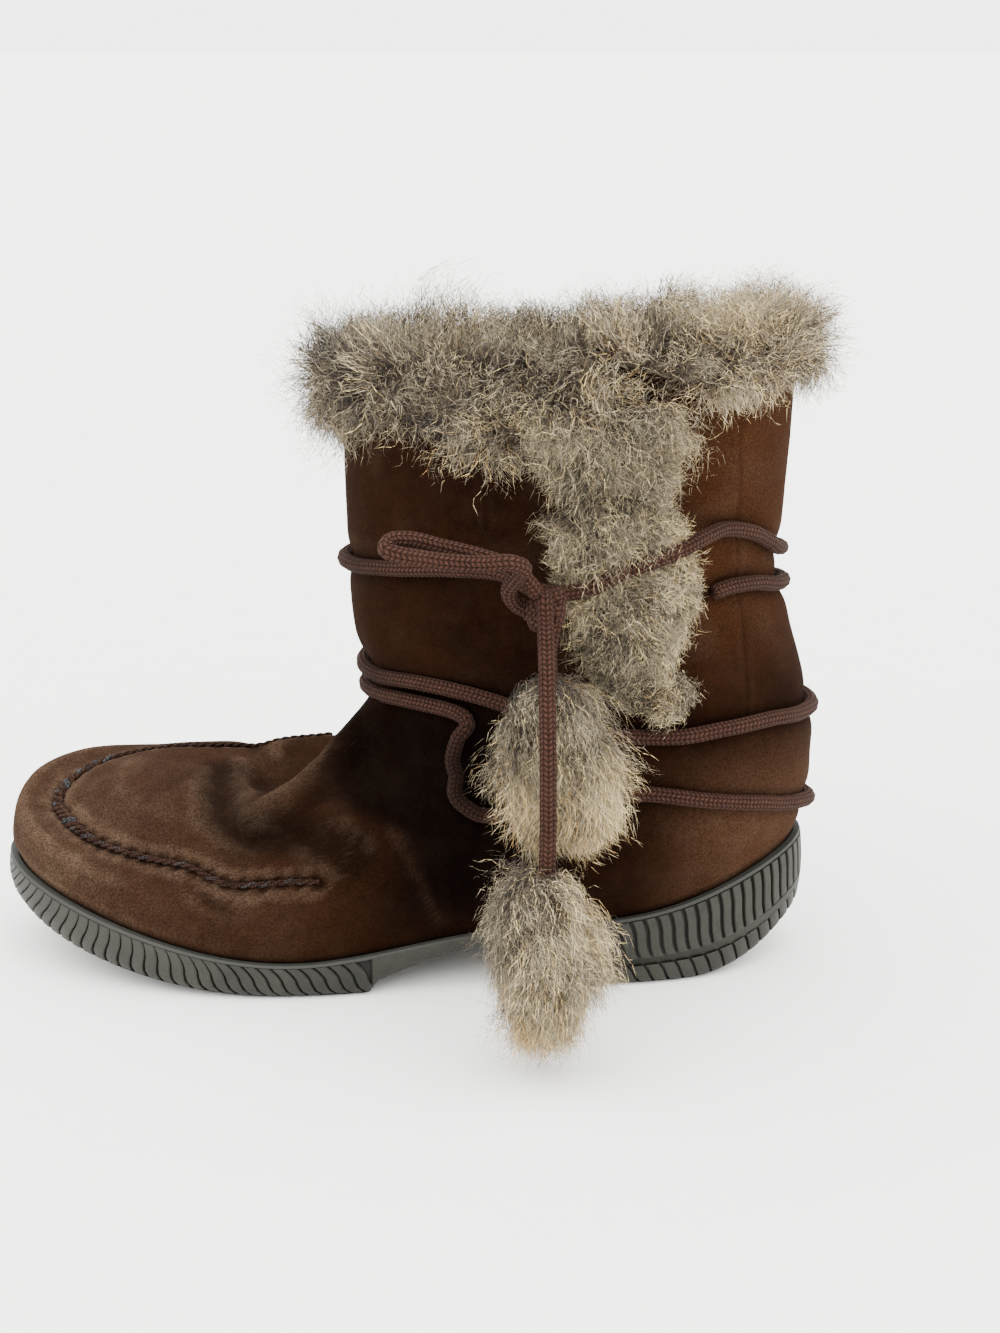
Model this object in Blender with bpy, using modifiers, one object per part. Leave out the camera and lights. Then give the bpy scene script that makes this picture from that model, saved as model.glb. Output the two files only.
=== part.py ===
"""Fur-trimmed ankle boot for a left foot, at real size, as separate closed solids.

Metres, +Z up, with the floor at z = 0. The toe points along -X and the outer side of the foot faces -Y. The
origin lies on the floor in the middle of the heel's resting face. The tables below are in millimetres.
"""

import math
from collections import namedtuple

import bmesh
import bpy
import numpy as np

MM = 0.001

# ---------------------------------------------------------------- driving sizes, in millimetres
GAP = 0.3  # air between two pieces that touch
LIP_GAP = 0.45  # between the rubber lip and the curved suede
WALL = 3.0  # suede, fleece lining and the glue between them
LIP = 2.3  # rubber lip that wraps the foot of the upper
SIDE_BULGE = 0.8  # how far the rubber's side swells past its lip
TREAD_ROUND = 3.0  # rounding under the rubber's edge
INSOLE = 4.0
INSOLE_EASE = 0.8  # between the insole and the inside of the wall

SIDE_STEPS = 24  # steps along each side of a section, front to back
ROWS_BETWEEN = (1, 1, 1, 1, 3, 3, 3, 3, 3, 2, 2, 2, 2, 2, 2)  # rows of faces between each section and the next

TOE_ROCKER_FROM, TOE_ROCKER_R = -118.0, 225.0  # the forefoot is flat behind this, and rolls up before it
HEEL_ROCKER_FROM, HEEL_ROCKER_R = 12.0, 38.0
PAD_END = (-92.5, -89.5)  # the forefoot tread ends in a small step
BREAST = (-28.0, -24.0)  # front face of the heel
ARCH = ((-89.5, 4.0), (-75.0, 9.0), (-62.0, 12.5), (-45.0, 15.0), (-28.0, 16.5))  # x and height under the arch

CORD_R = 2.4
CORD_CLEAR = 1.3  # the laces' straight runs stay this clear of the curved shaft

CUFF_INSIDE = 7.0  # fur inside the rim
CUFF_ABOVE = 7.0  # fur above the rim
CUFF_DOWN_INSIDE = 15.0
CUFF_EASE = 0.9

# ---------------------------------------------------------------- the last, section by section
# Each section is a closed loop round the boot: x at its front and back, the y of its middle line, half widths at
# five places from front to back, heights at the same places, and its slope across on the outer and inner sides.
Section = namedtuple(
    "Section",
    "name front_x back_x front_y ball_y waist_y front_w ball_w waist_w heel_w back_w"
    " front_z ball_z waist_z heel_z back_z tilt_out tilt_in",
)
SECTIONS = [
    Section("seat", -212.5, 46.5, 8, -3.5, -6, 65, 42.0, 30.5, 29.5, 48, 25.0, 8.0, 16.3, 23.0, 26.0, 0.0, 0.0),
    Section("lip", -214.4, 49.0, 8, -3.5, -6, 68, 43.7, 32.5, 31.5, 50, 33.5, 11.8, 19.2, 27.3, 42.0, 0.0, 0.0),
    Section("wall", -216.3, 52.0, 8, -3.5, -5, 69, 45.0, 35.0, 34.0, 52, 39.5, 19.0, 27.5, 37.0, 50.0, 0.03, 0.1),
    Section("shoulder", -212.8, 53.4, 8, -3.5, -4, 66, 44.0, 37.5, 37.0, 54, 48.5, 31.0, 38.0, 46.0, 58.0, 0.12, 0.3),
    Section("seam", -200.5, 54.0, 7, -4.0, -4, 56, 40.5, 38.5, 38.0, 55, 48.0, 46.5, 48.0, 55.0, 65.0, 0.17, 0.3),
    Section("apron", -178.0, 53.8, 5, -4.0, -4, 46, 37.5, 38.5, 38.0, 56, 57.0, 55.0, 58.0, 64.0, 73.0, 0.17, 0.16),
    Section("vamp", -153.0, 53.2, 3, -4.0, -4, 35, 36.5, 38.5, 37.5, 55, 58.5, 62.0, 67.0, 72.0, 80.0, 0.12, 0.08),
    Section("instep", -127.0, 52.2, 1, -4.0, -4, 32, 36.5, 38.5, 36.5, 54, 57.5, 70.0, 76.0, 80.0, 87.0, 0.06, 0.06),
    Section("bend", -104.5, 50.8, 0, -4.0, -4, 35, 38.0, 39.0, 35.5, 52, 65.0, 79.0, 84.5, 89.0, 94.0, 0.03, 0.0),
    Section("throat", -94.8, 49.0, -1, -3.5, -3.5, 39, 39.0, 40.0, 34.5, 49, 81.0, 90.0, 94.5, 98.0, 102.0, 0.0, 0.0),
    Section("pinch", -93.2, 46.4, -1, -3.0, -3, 40, 39.5, 40.5, 33.0, 46, 97.0, 102.5, 105.5, 108.5, 111.0, 0.0, 0.0),
    Section("ankle", -97.4, 43.6, -1, -3.0, -3, 42, 41.5, 42.0, 32.0, 44, 112.0, 115.5, 117.5, 119.5, 121.0, 0.0, 0.0),
    Section("shaft", -98.8, 40.4, -1, -3.0, -3, 42, 42.0, 42.5, 31.0, 43, 127.0, 129.0, 130.5, 132.0, 133.0, 0.0, 0.0),
    Section("lace", -99.4, 41.0, -1, -3.0, -3, 42, 42.5, 43.0, 31.5, 43, 141.0, 142.5, 143.5, 144.0, 145.0, 0.0, 0.0),
    Section("top", -99.9, 43.0, -1, -3.0, -3, 43, 43.5, 44.0, 32.0, 44, 165.0, 167.0, 168.5, 170.0, 171.5, 0.0, 0.0),
    Section("rim", -99.6, 43.6, -1, -3.0, -3, 44, 44.5, 45.0, 32.5, 45, 199.0, 201.5, 204.0, 207.0, 209.0, 0.0, 0.0),
]
KNOTS = (0.0, 0.36, 0.6, 0.85, 1.0)  # where a section's five sizes are measured, front to back
SEAT, LIP_ROW, SEAM_ROW = 0, 1, 4

# Folds of the soft suede: a ridge or trough along a line from a to b, its height outward at each end and its
# half width.
Fold = namedtuple("Fold", "name ax ay az bx by bz height_a height_b width")
FOLDS = [
    Fold("slouch_ridge", -103, 2, 71, -132, -19, 57, 5.0, 9.0, 11),
    Fold("slouch_hollow", -129, 6, 56, -112, 18, 58, -5.0, -3.5, 10),
    Fold("pocket_front", -146, -2, 58, -142, -19, 52, -4.0, -4.0, 9),
    Fold("pocket_side", -139, -28, 48, -116, -35, 52, -4.0, -2.5, 9),
    Fold("toe_puff", -172, 2, 60, -160, -8, 58, 1.5, 1.5, 16),
]

# Fur along the front flap's edge, from under the cuff to its lower tip: height, the two edges and the depth.
Strip = namedtuple("Strip", "z left_x right_x depth")
PLACKET = [
    Strip(168.0, -37, 3, 10),
    Strip(158.0, -38, 6, 12.5),
    Strip(148.0, -39, 9, 12.5),
    Strip(139.0, -37, 12, 12),
    Strip(130.0, -33, 10, 12),
    Strip(121.0, -29, 6, 11),
    Strip(113.0, -25, 2, 9),
    Strip(105.0, -19, 7, 9),
    Strip(98.0, -13, 8, 7),
    Strip(93.0, -8, 4, 4),
]
PLACKET_CLEAR = 1.1
PLACKET_ACROSS = 9
PLACKET_ROWS = 14
FUR_PRESS_WIDE = 8.5  # the lace presses the fur flat over this half width
FUR_PRESS_CLEAR = 1.3

# The cuffs hang over the rim. f runs 0 at the shaft's front to 1 at its back; side is -1 outside, +1 inside. The
# lower edge stands at f, and the top edge a little further forward where the flap's end slants.
Hang = namedtuple("Hang", "side f slant bottom_z depth")
CUFF = [
    Hang(-1, 0.765, 0.24, 175.0, 12),
    Hang(-1, 0.62, 0.12, 171.5, 14),
    Hang(-1, 0.45, 0.05, 171.5, 14),
    Hang(-1, 0.34, 0.00, 170.0, 13),
    Hang(-1, 0.22, 0.00, 178.0, 13),
    Hang(-1, 0.10, 0.00, 181.0, 13),
    Hang(-1, 0.01, 0.00, 173.0, 14),
    Hang(1, 0.06, 0.00, 176.0, 14),
    Hang(1, 0.20, 0.00, 181.0, 13),
    Hang(1, 0.55, 0.00, 182.0, 12),
    Hang(1, 0.80, 0.00, 188.0, 11),
    Hang(1, 0.97, 0.00, 189.0, 12),
    Hang(-1, 0.985, 0.00, 190.0, 12),
    Hang(-1, 0.95, 0.02, 196.0, 10),
    Hang(-1, 0.87, 0.06, 187.0, 11),
    Hang(-1, 0.795, 0.24, 194.5, 10),
]
CUFF_STEPS = 50

# The lace's turns: where it crosses the shaft, as side, f and height, and how far it stands off for fur below it.
Turn = namedtuple("Turn", "side f z off")
LACE_RING = [
    Turn(-1, 0.01, 136.3, 0),
    Turn(-1, 0.10, 138.5, 0),
    Turn(-1, 0.24, 141.0, 0),
    Turn(-1, 0.36, 141.5, 2),
    Turn(-1, 0.45, 138.0, 7),
    Turn(-1, 0.53, 139.0, 9),
    Turn(-1, 0.61, 144.0, 9),
    Turn(-1, 0.70, 149.5, 9),
    Turn(-1, 0.775, 153.0, 5),
    Turn(-1, 0.84, 153.5, 0.5),
    Turn(-1, 0.91, 150.0, 0),
    Turn(-1, 0.97, 143.0, 0),
    Turn(1, 0.99, 138.0, 0),
    Turn(1, 0.80, 136.0, 0),
    Turn(1, 0.50, 135.5, 0),
    Turn(1, 0.20, 135.0, 0),
]
LACE_SPIRAL = [
    Turn(-1, 0.82, 131.8, 0.2),
    Turn(-1, 0.87, 132.8, 0),
    Turn(-1, 0.93, 132.0, 0),
    Turn(-1, 0.975, 129.5, 0),
    Turn(1, 0.99, 126.5, 0),
    Turn(1, 0.80, 122.0, 0),
    Turn(1, 0.50, 113.5, 0),
    Turn(1, 0.20, 104.5, 0),
    Turn(-1, 0.01, 99.5, 0),
    Turn(-1, 0.14, 101.0, 0),
    Turn(-1, 0.28, 99.0, 0.5),
    Turn(-1, 0.42, 93.0, 0.5),
    Turn(-1, 0.56, 88.5, 0.5),
    Turn(-1, 0.70, 87.5, 0.5),
    Turn(-1, 0.80, 89.0, 0),
    Turn(-1, 0.90, 89.5, 0),
    Turn(-1, 0.97, 87.5, 0),
    Turn(1, 0.995, 85.5, 0),
    Turn(1, 0.80, 86.5, 0),
    Turn(1, 0.50, 90.0, 0),
    Turn(1, 0.20, 92.5, 0),
    Turn(-1, 0.01, 92.8, 0),
    Turn(-1, 0.10, 94.0, 0),
    Turn(-1, 0.20, 93.8, 0.8),
    Turn(-1, 0.248, 91.3, 3.2),
    Turn(-1, 0.238, 86.0, 4.6),
    Turn(-1, 0.250, 78.8, 5.0),
    Turn(-1, 0.315, 71.3, 4.5),
    Turn(-1, 0.40, 64.9, 3.0),
    Turn(-1, 0.48, 61.4, 1.2),
    Turn(-1, 0.59, 64.5, 0.3),
    Turn(-1, 0.70, 68.5, 0),
    Turn(-1, 0.82, 65.5, 0),
    Turn(-1, 0.91, 61.5, 0),
    Turn(-1, 0.97, 57.0, 0),
    Turn(1, 0.995, 52.0, 0),
    Turn(1, 0.85, 57.0, 0.5),
    Turn(1, 0.62, 68.0, 0.3),
    Turn(1, 0.45, 79.0, 0),
]
LACE_STEPS = {"lace_ring": 40, "lace_spiral": 88}
PRESS, PRESS_WIDE = 2.5, 8.5  # the turns sink this deep into the suede

# Free ends of the lace, through points chosen by hand: the knot, a half bow and two ends with pompoms.
KNOT = (-36.8, -66.0, 138.0)
KNOT_SIZE = (6.0, 5.5, 6.5)
BOW_LOOP = [
    (-38.5, -74.5, 141.5),
    (-42.5, -77.0, 146.5),
    (-47.5, -77.5, 150.8),
    (-55.6, -78.0, 154.5),
    (-67.0, -78.5, 157.6),
    (-76.5, -79.5, 160.0),
    (-81.6, -81.5, 159.6),
    (-82.6, -84.0, 157.6),
    (-79.0, -85.8, 156.2),
    (-72.5, -86.3, 155.2),
    (-64.0, -86.3, 154.4),
    (-54.5, -85.5, 154.8),
    (-47.6, -83.5, 155.0),
    (-44.8, -80.5, 152.0),
    (-46.6, -76.0, 147.0),
    (-47.4, -72.5, 142.5),
    (-45.0, -70.0, 138.6),
]
SHORT_CORD = [(-33.6, -70.5, 129.3), (-34.6, -71.0, 124.0), (-35.0, -71.0, 118.6)]
LONG_CORD = [
    (-36.6, -75.5, 133.5),
    (-36.4, -81.0, 127.0),
    (-36.2, -89.0, 115.0),
    (-36.0, -94.0, 100.0),
    (-35.9, -96.0, 84.0),
    (-36.0, -98.0, 69.0),
]
CORD_STEP = 6.0

# A pompom hangs as a long tassel of fur: the middle of each ring, its two half widths, from top to tip.
Ring = namedtuple("Ring", "x y z across deep")
POMPOM_UPPER = [
    Ring(-35, -71, 118.0, 5, 4),
    Ring(-35, -72, 113.5, 14, 11),
    Ring(-35, -73, 104.0, 20, 15),
    Ring(-33, -73, 90.0, 23, 16.5),
    Ring(-31, -73, 76.0, 20, 16.0),
    Ring(-31, -72, 66.0, 13, 12),
    Ring(-31, -71, 61.0, 5, 5),
]
POMPOM_LOWER = [
    Ring(-36, -98, 67.2, 5, 4),
    Ring(-37, -98, 62.5, 14, 12),
    Ring(-38, -99, 51.0, 20, 17),
    Ring(-38, -100, 37.0, 21, 18),
    Ring(-37, -101, 23.0, 17, 16),
    Ring(-38, -103, 12.0, 10, 11),
    Ring(-38.5, -104, 6.5, 4, 5),
]
POMPOM_SIDES = 16

# ---------------------------------------------------------------- colours, as the parts' own
Finish = namedtuple("Finish", "red green blue roughness")
SUEDE = Finish(0.052, 0.025, 0.014, 0.95)
RUBBER = Finish(0.15, 0.16, 0.14, 0.75)
FLEECE = Finish(0.42, 0.36, 0.27, 1.0)
FUR = Finish(0.36, 0.31, 0.25, 0.9)
CORD = Finish(0.12, 0.06, 0.05, 0.8)

OBJECT = "fur_trimmed_ankle_boot"


# ---------------------------------------------------------------- curves
def smooth(knots, values, at):
    """A cubic curve through the values at the knots, read at each place in `at`."""
    t = np.asarray(knots, float)
    p = np.asarray(values, float)
    q = np.clip(np.asarray(at, float), t[0], t[-1])
    slope = np.diff(p, axis=0) / np.diff(t).reshape(-1, *[1] * (p.ndim - 1))
    step = np.diff(t)
    inner = [
        (slope[k] * step[k + 1] + slope[k + 1] * step[k]) / (step[k] + step[k + 1])
        for k in range(len(slope) - 1)
    ]
    lean = np.stack([slope[0], *inner, slope[-1]])
    k = np.clip(np.searchsorted(t, q, side="right") - 1, 0, len(t) - 2)
    long = step[k].reshape(-1, *[1] * (p.ndim - 1))
    s = ((q - t[k]) / step[k]).reshape(-1, *[1] * (p.ndim - 1))
    start = (1 + 2 * s) * (1 - s) ** 2 * p[k] + s * (1 - s) ** 2 * long * lean[k]
    end = s**2 * (3 - 2 * s) * p[k + 1] - s**2 * (1 - s) * long * lean[k + 1]
    return start + end


def stations(marks=()):
    """Places from 0 at the front to 1 at the back, close together at both ends, with one moved to each mark."""
    f = (1 - np.cos(np.linspace(0, math.pi, SIDE_STEPS + 1))) / 2
    free = np.ones(len(f), bool)
    for mark in marks:
        nearest = np.where(free, np.abs(f - mark), np.inf).argmin()
        f[nearest] = mark
        free[nearest] = False
    return np.sort(f)


def spaced(points, count):
    """Points an even distance apart on a smooth curve through the given ones."""
    through = np.asarray(points, float)
    reach = np.concatenate([[0], np.cumsum(np.linalg.norm(np.diff(through, axis=0), axis=1))])
    fine = smooth(reach, through, np.linspace(0, reach[-1], 1200))
    along = np.concatenate([[0], np.cumsum(np.linalg.norm(np.diff(fine, axis=0), axis=1))])
    return np.stack([np.interp(np.linspace(0, along[-1], count), along, fine[:, k]) for k in range(3)], axis=1)


# ---------------------------------------------------------------- the last's surface
def section_side(row, f, side):
    """Points of one section at the places f, on the outer (-1) or the inner (+1) side."""
    f = np.asarray(f, float)
    middle = smooth(KNOTS, (row.front_y, row.ball_y, row.waist_y, row.waist_y * 0.3, 0), f)
    inner = [w / math.sqrt(k * (1 - k)) for w, k in zip((row.ball_w, row.waist_w, row.heel_w), KNOTS[1:4])]
    half = np.sqrt(np.maximum(f * (1 - f), 0)) * smooth(KNOTS, (2 * row.front_w, *inner, 2 * row.back_w), f)
    y = middle + side * half
    z = section_height(row, f) + np.where(y < 0, row.tilt_out, row.tilt_in) * y
    return np.stack([row.front_x + f * (row.back_x - row.front_x), y, z], axis=-1)


def section_height(row, f):
    """Height of a section's middle line at the places f."""
    return smooth(KNOTS, (row.front_z, row.ball_z, row.waist_z, row.heel_z, row.back_z), f)


def section_loop(row, f):
    """One section as a closed loop: front, outer side, back, inner side."""
    outer = section_side(row, f, -1)
    inner = section_side(row, f[-2:0:-1], 1)
    return np.concatenate([outer, inner])


def last_point(side, f, level):
    """Point of the last at place f of a side, level counted in sections from the seat upward, before any fold."""
    columns = np.stack([section_side(row, np.atleast_1d(f), side) for row in SECTIONS])
    return smooth(range(len(SECTIONS)), columns, np.atleast_1d(level))[0, 0]


def at_height(side, f, z, off):
    """Point on the last at place f of a side and at height z, moved `off` outward in its level plane."""
    heights = [section_side(row, [f], side)[0, 2] for row in SECTIONS]
    level = np.interp(z, heights, range(len(SECTIONS)))
    here = last_point(side, f, level)
    ahead = last_point(side, min(f + 0.004, 1), level)
    behind = last_point(side, max(f - 0.004, 0), level)
    if f < 0.004 or f > 0.996:
        away = np.array([-1.0 if f < 0.5 else 1.0, 0.0, 0.0])
    else:
        run = (ahead - behind) * [1, 1, 0]
        away = np.array([run[1], -run[0], 0.0]) * -side
        away /= np.linalg.norm(away)
    return here + away * off


def normals(grid):
    """Outward unit normals of a grid of closed loops, lowest first."""
    around = np.roll(grid, -1, axis=1) - np.roll(grid, 1, axis=1)
    up = np.gradient(grid, axis=0)
    out = np.cross(around, up)
    return out / np.linalg.norm(out, axis=2, keepdims=True)


def angle(side, f):
    """How far round a section a place is: 0 at the front, half a turn at the back, by the outer side."""
    return -side * np.arccos(1 - 2 * np.asarray(f, float))


def place(turn):
    """The side and f of an angle round a section."""
    return np.where(np.sin(turn) >= 0, -1, 1), (1 - np.cos(turn)) / 2


def around(rows, count, closed=False):
    """Even steps through a table's rows: side, f and the rows' remaining columns, between the last and the first
    row as well if closed."""
    turn = np.unwrap([angle(row.side, row.f) for row in rows])
    rest = np.array([row[2:] for row in rows], float)
    if closed:
        whole = 2 * math.pi * np.sign(turn[-1] - turn[0])
        turn = np.concatenate([turn[-3:] - whole, turn, turn[:3] + whole])
        rest = np.concatenate([rest[-3:], rest, rest[:3]])
    order = np.arange(len(turn)) - 3 * closed
    at = np.linspace(0, len(rows) - (not closed), count, endpoint=not closed)
    side, f = place(smooth(order, turn, at))
    return side, f, smooth(order, rest, at)


def lace_line(turns, count, off, closed=False):
    """The line of a run of the lace, `off` outside the suede before the lace sinks into it."""
    sides, places, rest = around(turns, count, closed)
    return np.array([at_height(side, f, z, off + more) for side, f, (z, more) in zip(sides, places, rest)])


def folded(grid):
    """The grid with the suede's folds and the lace's presses moved along its normals."""
    away = normals(grid)
    lift = np.zeros(grid.shape[:2])
    for fold in FOLDS:
        a = np.array([fold.ax, fold.ay, fold.az])
        run = np.array([fold.bx, fold.by, fold.bz]) - a
        t = np.clip(((grid - a) @ run) / (run @ run), 0, 1)
        gap = np.linalg.norm(grid - a - t[..., None] * run, axis=2)
        lift += (fold.height_a + (fold.height_b - fold.height_a) * t) * np.exp(-((gap / fold.width) ** 2))
    for turns, closed in ((LACE_RING, True), (LACE_SPIRAL, False)):
        line = lace_line(turns, 10 * len(turns), 0, closed)
        gap = np.min(np.linalg.norm(grid[:, :, None] - line, axis=3), axis=2)
        lift -= PRESS * np.exp(-((gap / PRESS_WIDE) ** 2))
    return grid + away * lift[..., None]


def upper_grid():
    """The outside of the upper as closed loops from the seat to the rim."""
    loops = np.stack([section_loop(row, stations()) for row in SECTIONS])
    levels = [first + step / count for first, count in enumerate(ROWS_BETWEEN) for step in range(count)]
    grid = folded(smooth(range(len(SECTIONS)), loops, [*levels, len(SECTIONS) - 1]))
    grid[0, :, 2] += GAP
    return grid


def outset(loop, by):
    """A loop moved outward by a distance in its level plane."""
    run = np.roll(loop, -1, axis=0) - np.roll(loop, 1, axis=0)
    away = np.stack([run[:, 1], -run[:, 0], np.zeros(len(run))], axis=1)
    away /= np.linalg.norm(away, axis=1, keepdims=True)
    return loop + away * by


# ---------------------------------------------------------------- making objects
def material(name, finish):
    """A Principled material of one colour."""
    made = bpy.data.materials.new(name)
    made.use_nodes = True
    shader = made.node_tree.nodes["Principled BSDF"]
    shader.inputs["Base Color"].default_value = (finish.red, finish.green, finish.blue, 1)
    shader.inputs["Roughness"].default_value = finish.roughness
    shader.inputs["Metallic"].default_value = 0.0
    return made


def add_object(name, data, finish, collection):
    """Links a mesh or a curve as a named object with its own material."""
    made = bpy.data.objects.new(name, data)
    data.materials.append(material(name, finish))
    collection.objects.link(made)
    return made


def mesh_of(name, points, faces):
    """A smooth-shaded mesh from points in millimetres."""
    mesh = bpy.data.meshes.new(name)
    mesh.from_pydata([tuple(p * MM) for p in np.asarray(points, float)], [], faces)
    mesh.shade_smooth()
    mesh.set_sharp_from_angle(angle=math.radians(40))
    return mesh


def loft(name, loops, cap=None, lean=None):
    """A mesh between closed loops of equal length, whose ends are closed with the given kind of cap. Its faces are
    quads, or triangles whose diagonals lean forward or back round the loops."""
    loops = np.asarray(loops, float)
    rows, around = loops.shape[:2]
    faces = []
    for r in range(rows - 1):
        for i in range(around):
            a, b = r * around + i, r * around + (i + 1) % around
            c, d = b + around, a + around
            if lean == "forward":
                faces += [(a, b, c), (a, c, d)]
            elif lean == "back":
                faces += [(a, b, d), (b, c, d)]
            else:
                faces.append((a, b, c, d))
    if cap == "across":
        faces += across(around, 0, True) + across(around, (rows - 1) * around, False)
    if cap == "flat":
        faces.append(tuple(range(around))[::-1])
        faces.append(tuple(range((rows - 1) * around, rows * around)))
    return mesh_of(name, loops.reshape(-1, 3), faces)


def across(around, first, down):
    """Faces that close a loop with straight lines from its outer side to its inner side."""
    half = around // 2

    def pair(k):
        return first + k, first + (around - k) % around

    faces = [(pair(0)[0], pair(1)[0], pair(1)[1])]
    faces += [(pair(k)[0], pair(k + 1)[0], pair(k + 1)[1], pair(k)[1]) for k in range(1, half - 1)]
    faces.append((pair(half - 1)[0], pair(half)[0], pair(half - 1)[1]))
    return [face[::-1] for face in faces] if down else faces


def tube(name, points, radius, closed, finish, collection):
    """A round cord through the points, as a curve with filled ends, or as a ring."""
    curve = bpy.data.curves.new(name, "CURVE")
    curve.dimensions = "3D"
    curve.bevel_depth = radius * MM
    curve.bevel_resolution = 2
    curve.use_fill_caps = not closed
    spline = curve.splines.new("POLY")
    spline.points.add(len(points) - 1)
    for place, p in zip(spline.points, points):
        place.co = (*(p * MM), 1)
    spline.use_cyclic_u = closed
    spline.use_smooth = True
    return add_object(name, curve, finish, collection)


# ---------------------------------------------------------------- the sole
def tread_height(x):
    """Height of the sole's underside at x: toe rocker, forefoot flat, arch, heel flat and heel rocker."""
    if x < TOE_ROCKER_FROM:
        return (TOE_ROCKER_FROM - x) ** 2 / (2 * TOE_ROCKER_R)
    if x > HEEL_ROCKER_FROM:
        return (x - HEEL_ROCKER_FROM) ** 2 / (2 * HEEL_ROCKER_R)
    if x <= PAD_END[0] or x >= BREAST[1]:
        return 0.0
    xs, zs = zip(*ARCH)
    if x < PAD_END[1]:
        return float(np.interp(x, PAD_END, (0, zs[0])))
    if x > BREAST[0]:
        return float(np.interp(x, BREAST, (zs[-1], 0)))
    return float(smooth(xs, zs, [x])[0])


def build_outsole(collection):
    """The rubber cup sole: a base with a toe and heel rocker, and a lip round the foot of the upper."""
    f = stations()
    seat = section_loop(SECTIONS[SEAT], f)
    lip = section_loop(SECTIONS[LIP_ROW], f)
    row = SECTIONS[LIP_ROW]
    length = row.back_x - row.front_x
    marks = [(x - row.front_x) / length for x in (TOE_ROCKER_FROM, *PAD_END, *BREAST, HEEL_ROCKER_FROM)]
    edge = section_loop(row, stations(marks))
    wide = LIP_GAP + LIP
    side = outset(lip, wide + SIDE_BULGE)
    low = outset(edge, wide)
    tread = outset(edge, wide - TREAD_ROUND)
    floor = np.array([tread_height(x) for x in edge[:, 0].round(6)])
    tread[:, 2] = floor
    low[:, 2] = floor + TREAD_ROUND * 0.8
    side[:, 2] = 0.5 * lip[:, 2] + 0.5 * np.array([tread_height(x) for x in side[:, 0]])
    loops = [tread, low, side, outset(lip, wide), outset(lip, LIP_GAP), outset(seat, LIP_GAP)]
    return add_object("outsole", loft("outsole", loops, "across", "back"), RUBBER, collection)


def build_insole(collection):
    """The foot bed, which lies on the sole's seat inside the wall."""
    row = SECTIONS[SEAT]
    under = outset(section_loop(row, stations()), -(WALL + INSOLE_EASE))
    place = (under[:, 0] - row.front_x) / (row.back_x - row.front_x)
    under[:, 2] = section_height(row, place) + 2 * GAP
    top = outset(under, -0.3)
    top[:, 2] = under[:, 2] + INSOLE
    return add_object("insole", loft("insole", [under, top], "across"), FLEECE, collection)


# ---------------------------------------------------------------- the upper
def build_upper(collection):
    """The suede upper: one shell, open at the collar and over the sole."""
    upper = add_object("upper", loft("upper", upper_grid(), None, "forward"), SUEDE, collection)
    shell = upper.modifiers.new("wall", "SOLIDIFY")
    shell.thickness = WALL * MM
    shell.offset = -1.0
    shell.use_rim = True
    shell.use_even_offset = False
    return upper


# ---------------------------------------------------------------- fur
def cuff_section(side, f, slant, low, deep):
    """One slice through a cuff: it starts inside the rim, passes over it and hangs down outside."""
    rim_z = section_side(SECTIONS[-1], [f], side)[0, 2]
    inside = -(WALL + CUFF_EASE)
    profile = [
        (inside, rim_z - CUFF_DOWN_INSIDE),
        (inside, rim_z + CUFF_EASE),
        (CUFF_EASE, rim_z + CUFF_EASE),
        (CUFF_EASE, (rim_z + low) / 2),
        (CUFF_EASE, low + 1.5),
        (deep * 0.55, low),
        (deep * 0.95, low + 6),
        (deep, rim_z - 10),
        (deep * 0.85, rim_z + CUFF_ABOVE * 0.4),
        (deep * 0.4, rim_z + CUFF_ABOVE),
        (inside - CUFF_INSIDE * 0.5, rim_z + CUFF_ABOVE * 0.8),
        (inside - CUFF_INSIDE, rim_z),
        (inside - CUFF_INSIDE * 0.9, rim_z - CUFF_DOWN_INSIDE + 2),
    ]
    points = []
    for off, z in profile:
        forward = slant * min((z - low) / (rim_z - low), 1)
        points.append(at_height(side, f - forward, min(z, rim_z), off) * [1, 1, 0] + [0, 0, z])
    return points


def build_cuff(collection):
    """The thick fur cuff folded over the rim, from the flap's slanting edge all the way round to behind it."""
    slices = [cuff_section(side, f, *rest) for side, f, rest in zip(*around(CUFF, CUFF_STEPS))]
    return add_object("fur_cuff", loft("fur_cuff", slices, "flat"), FUR, collection)


def placket_off(s, depth, f, z, line):
    """How far the placket's fur stands off at s across it; the lace on its line presses it down."""
    length = SECTIONS[-1].back_x - SECTIONS[-1].front_x
    away = np.hypot((line[:, 0] - f) * length, line[:, 1] - z)
    near = away.argmin()
    full = PLACKET_CLEAR + 1 + depth * math.sqrt(1 - (2 * s - 1) ** 4)
    under = line[near, 2] + CORD_CLEAR - PRESS - FUR_PRESS_CLEAR
    press = max(full - under, 0) * math.exp(-((away[near] / FUR_PRESS_WIDE) ** 2))
    return max(full - press, PLACKET_CLEAR + 1)


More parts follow.
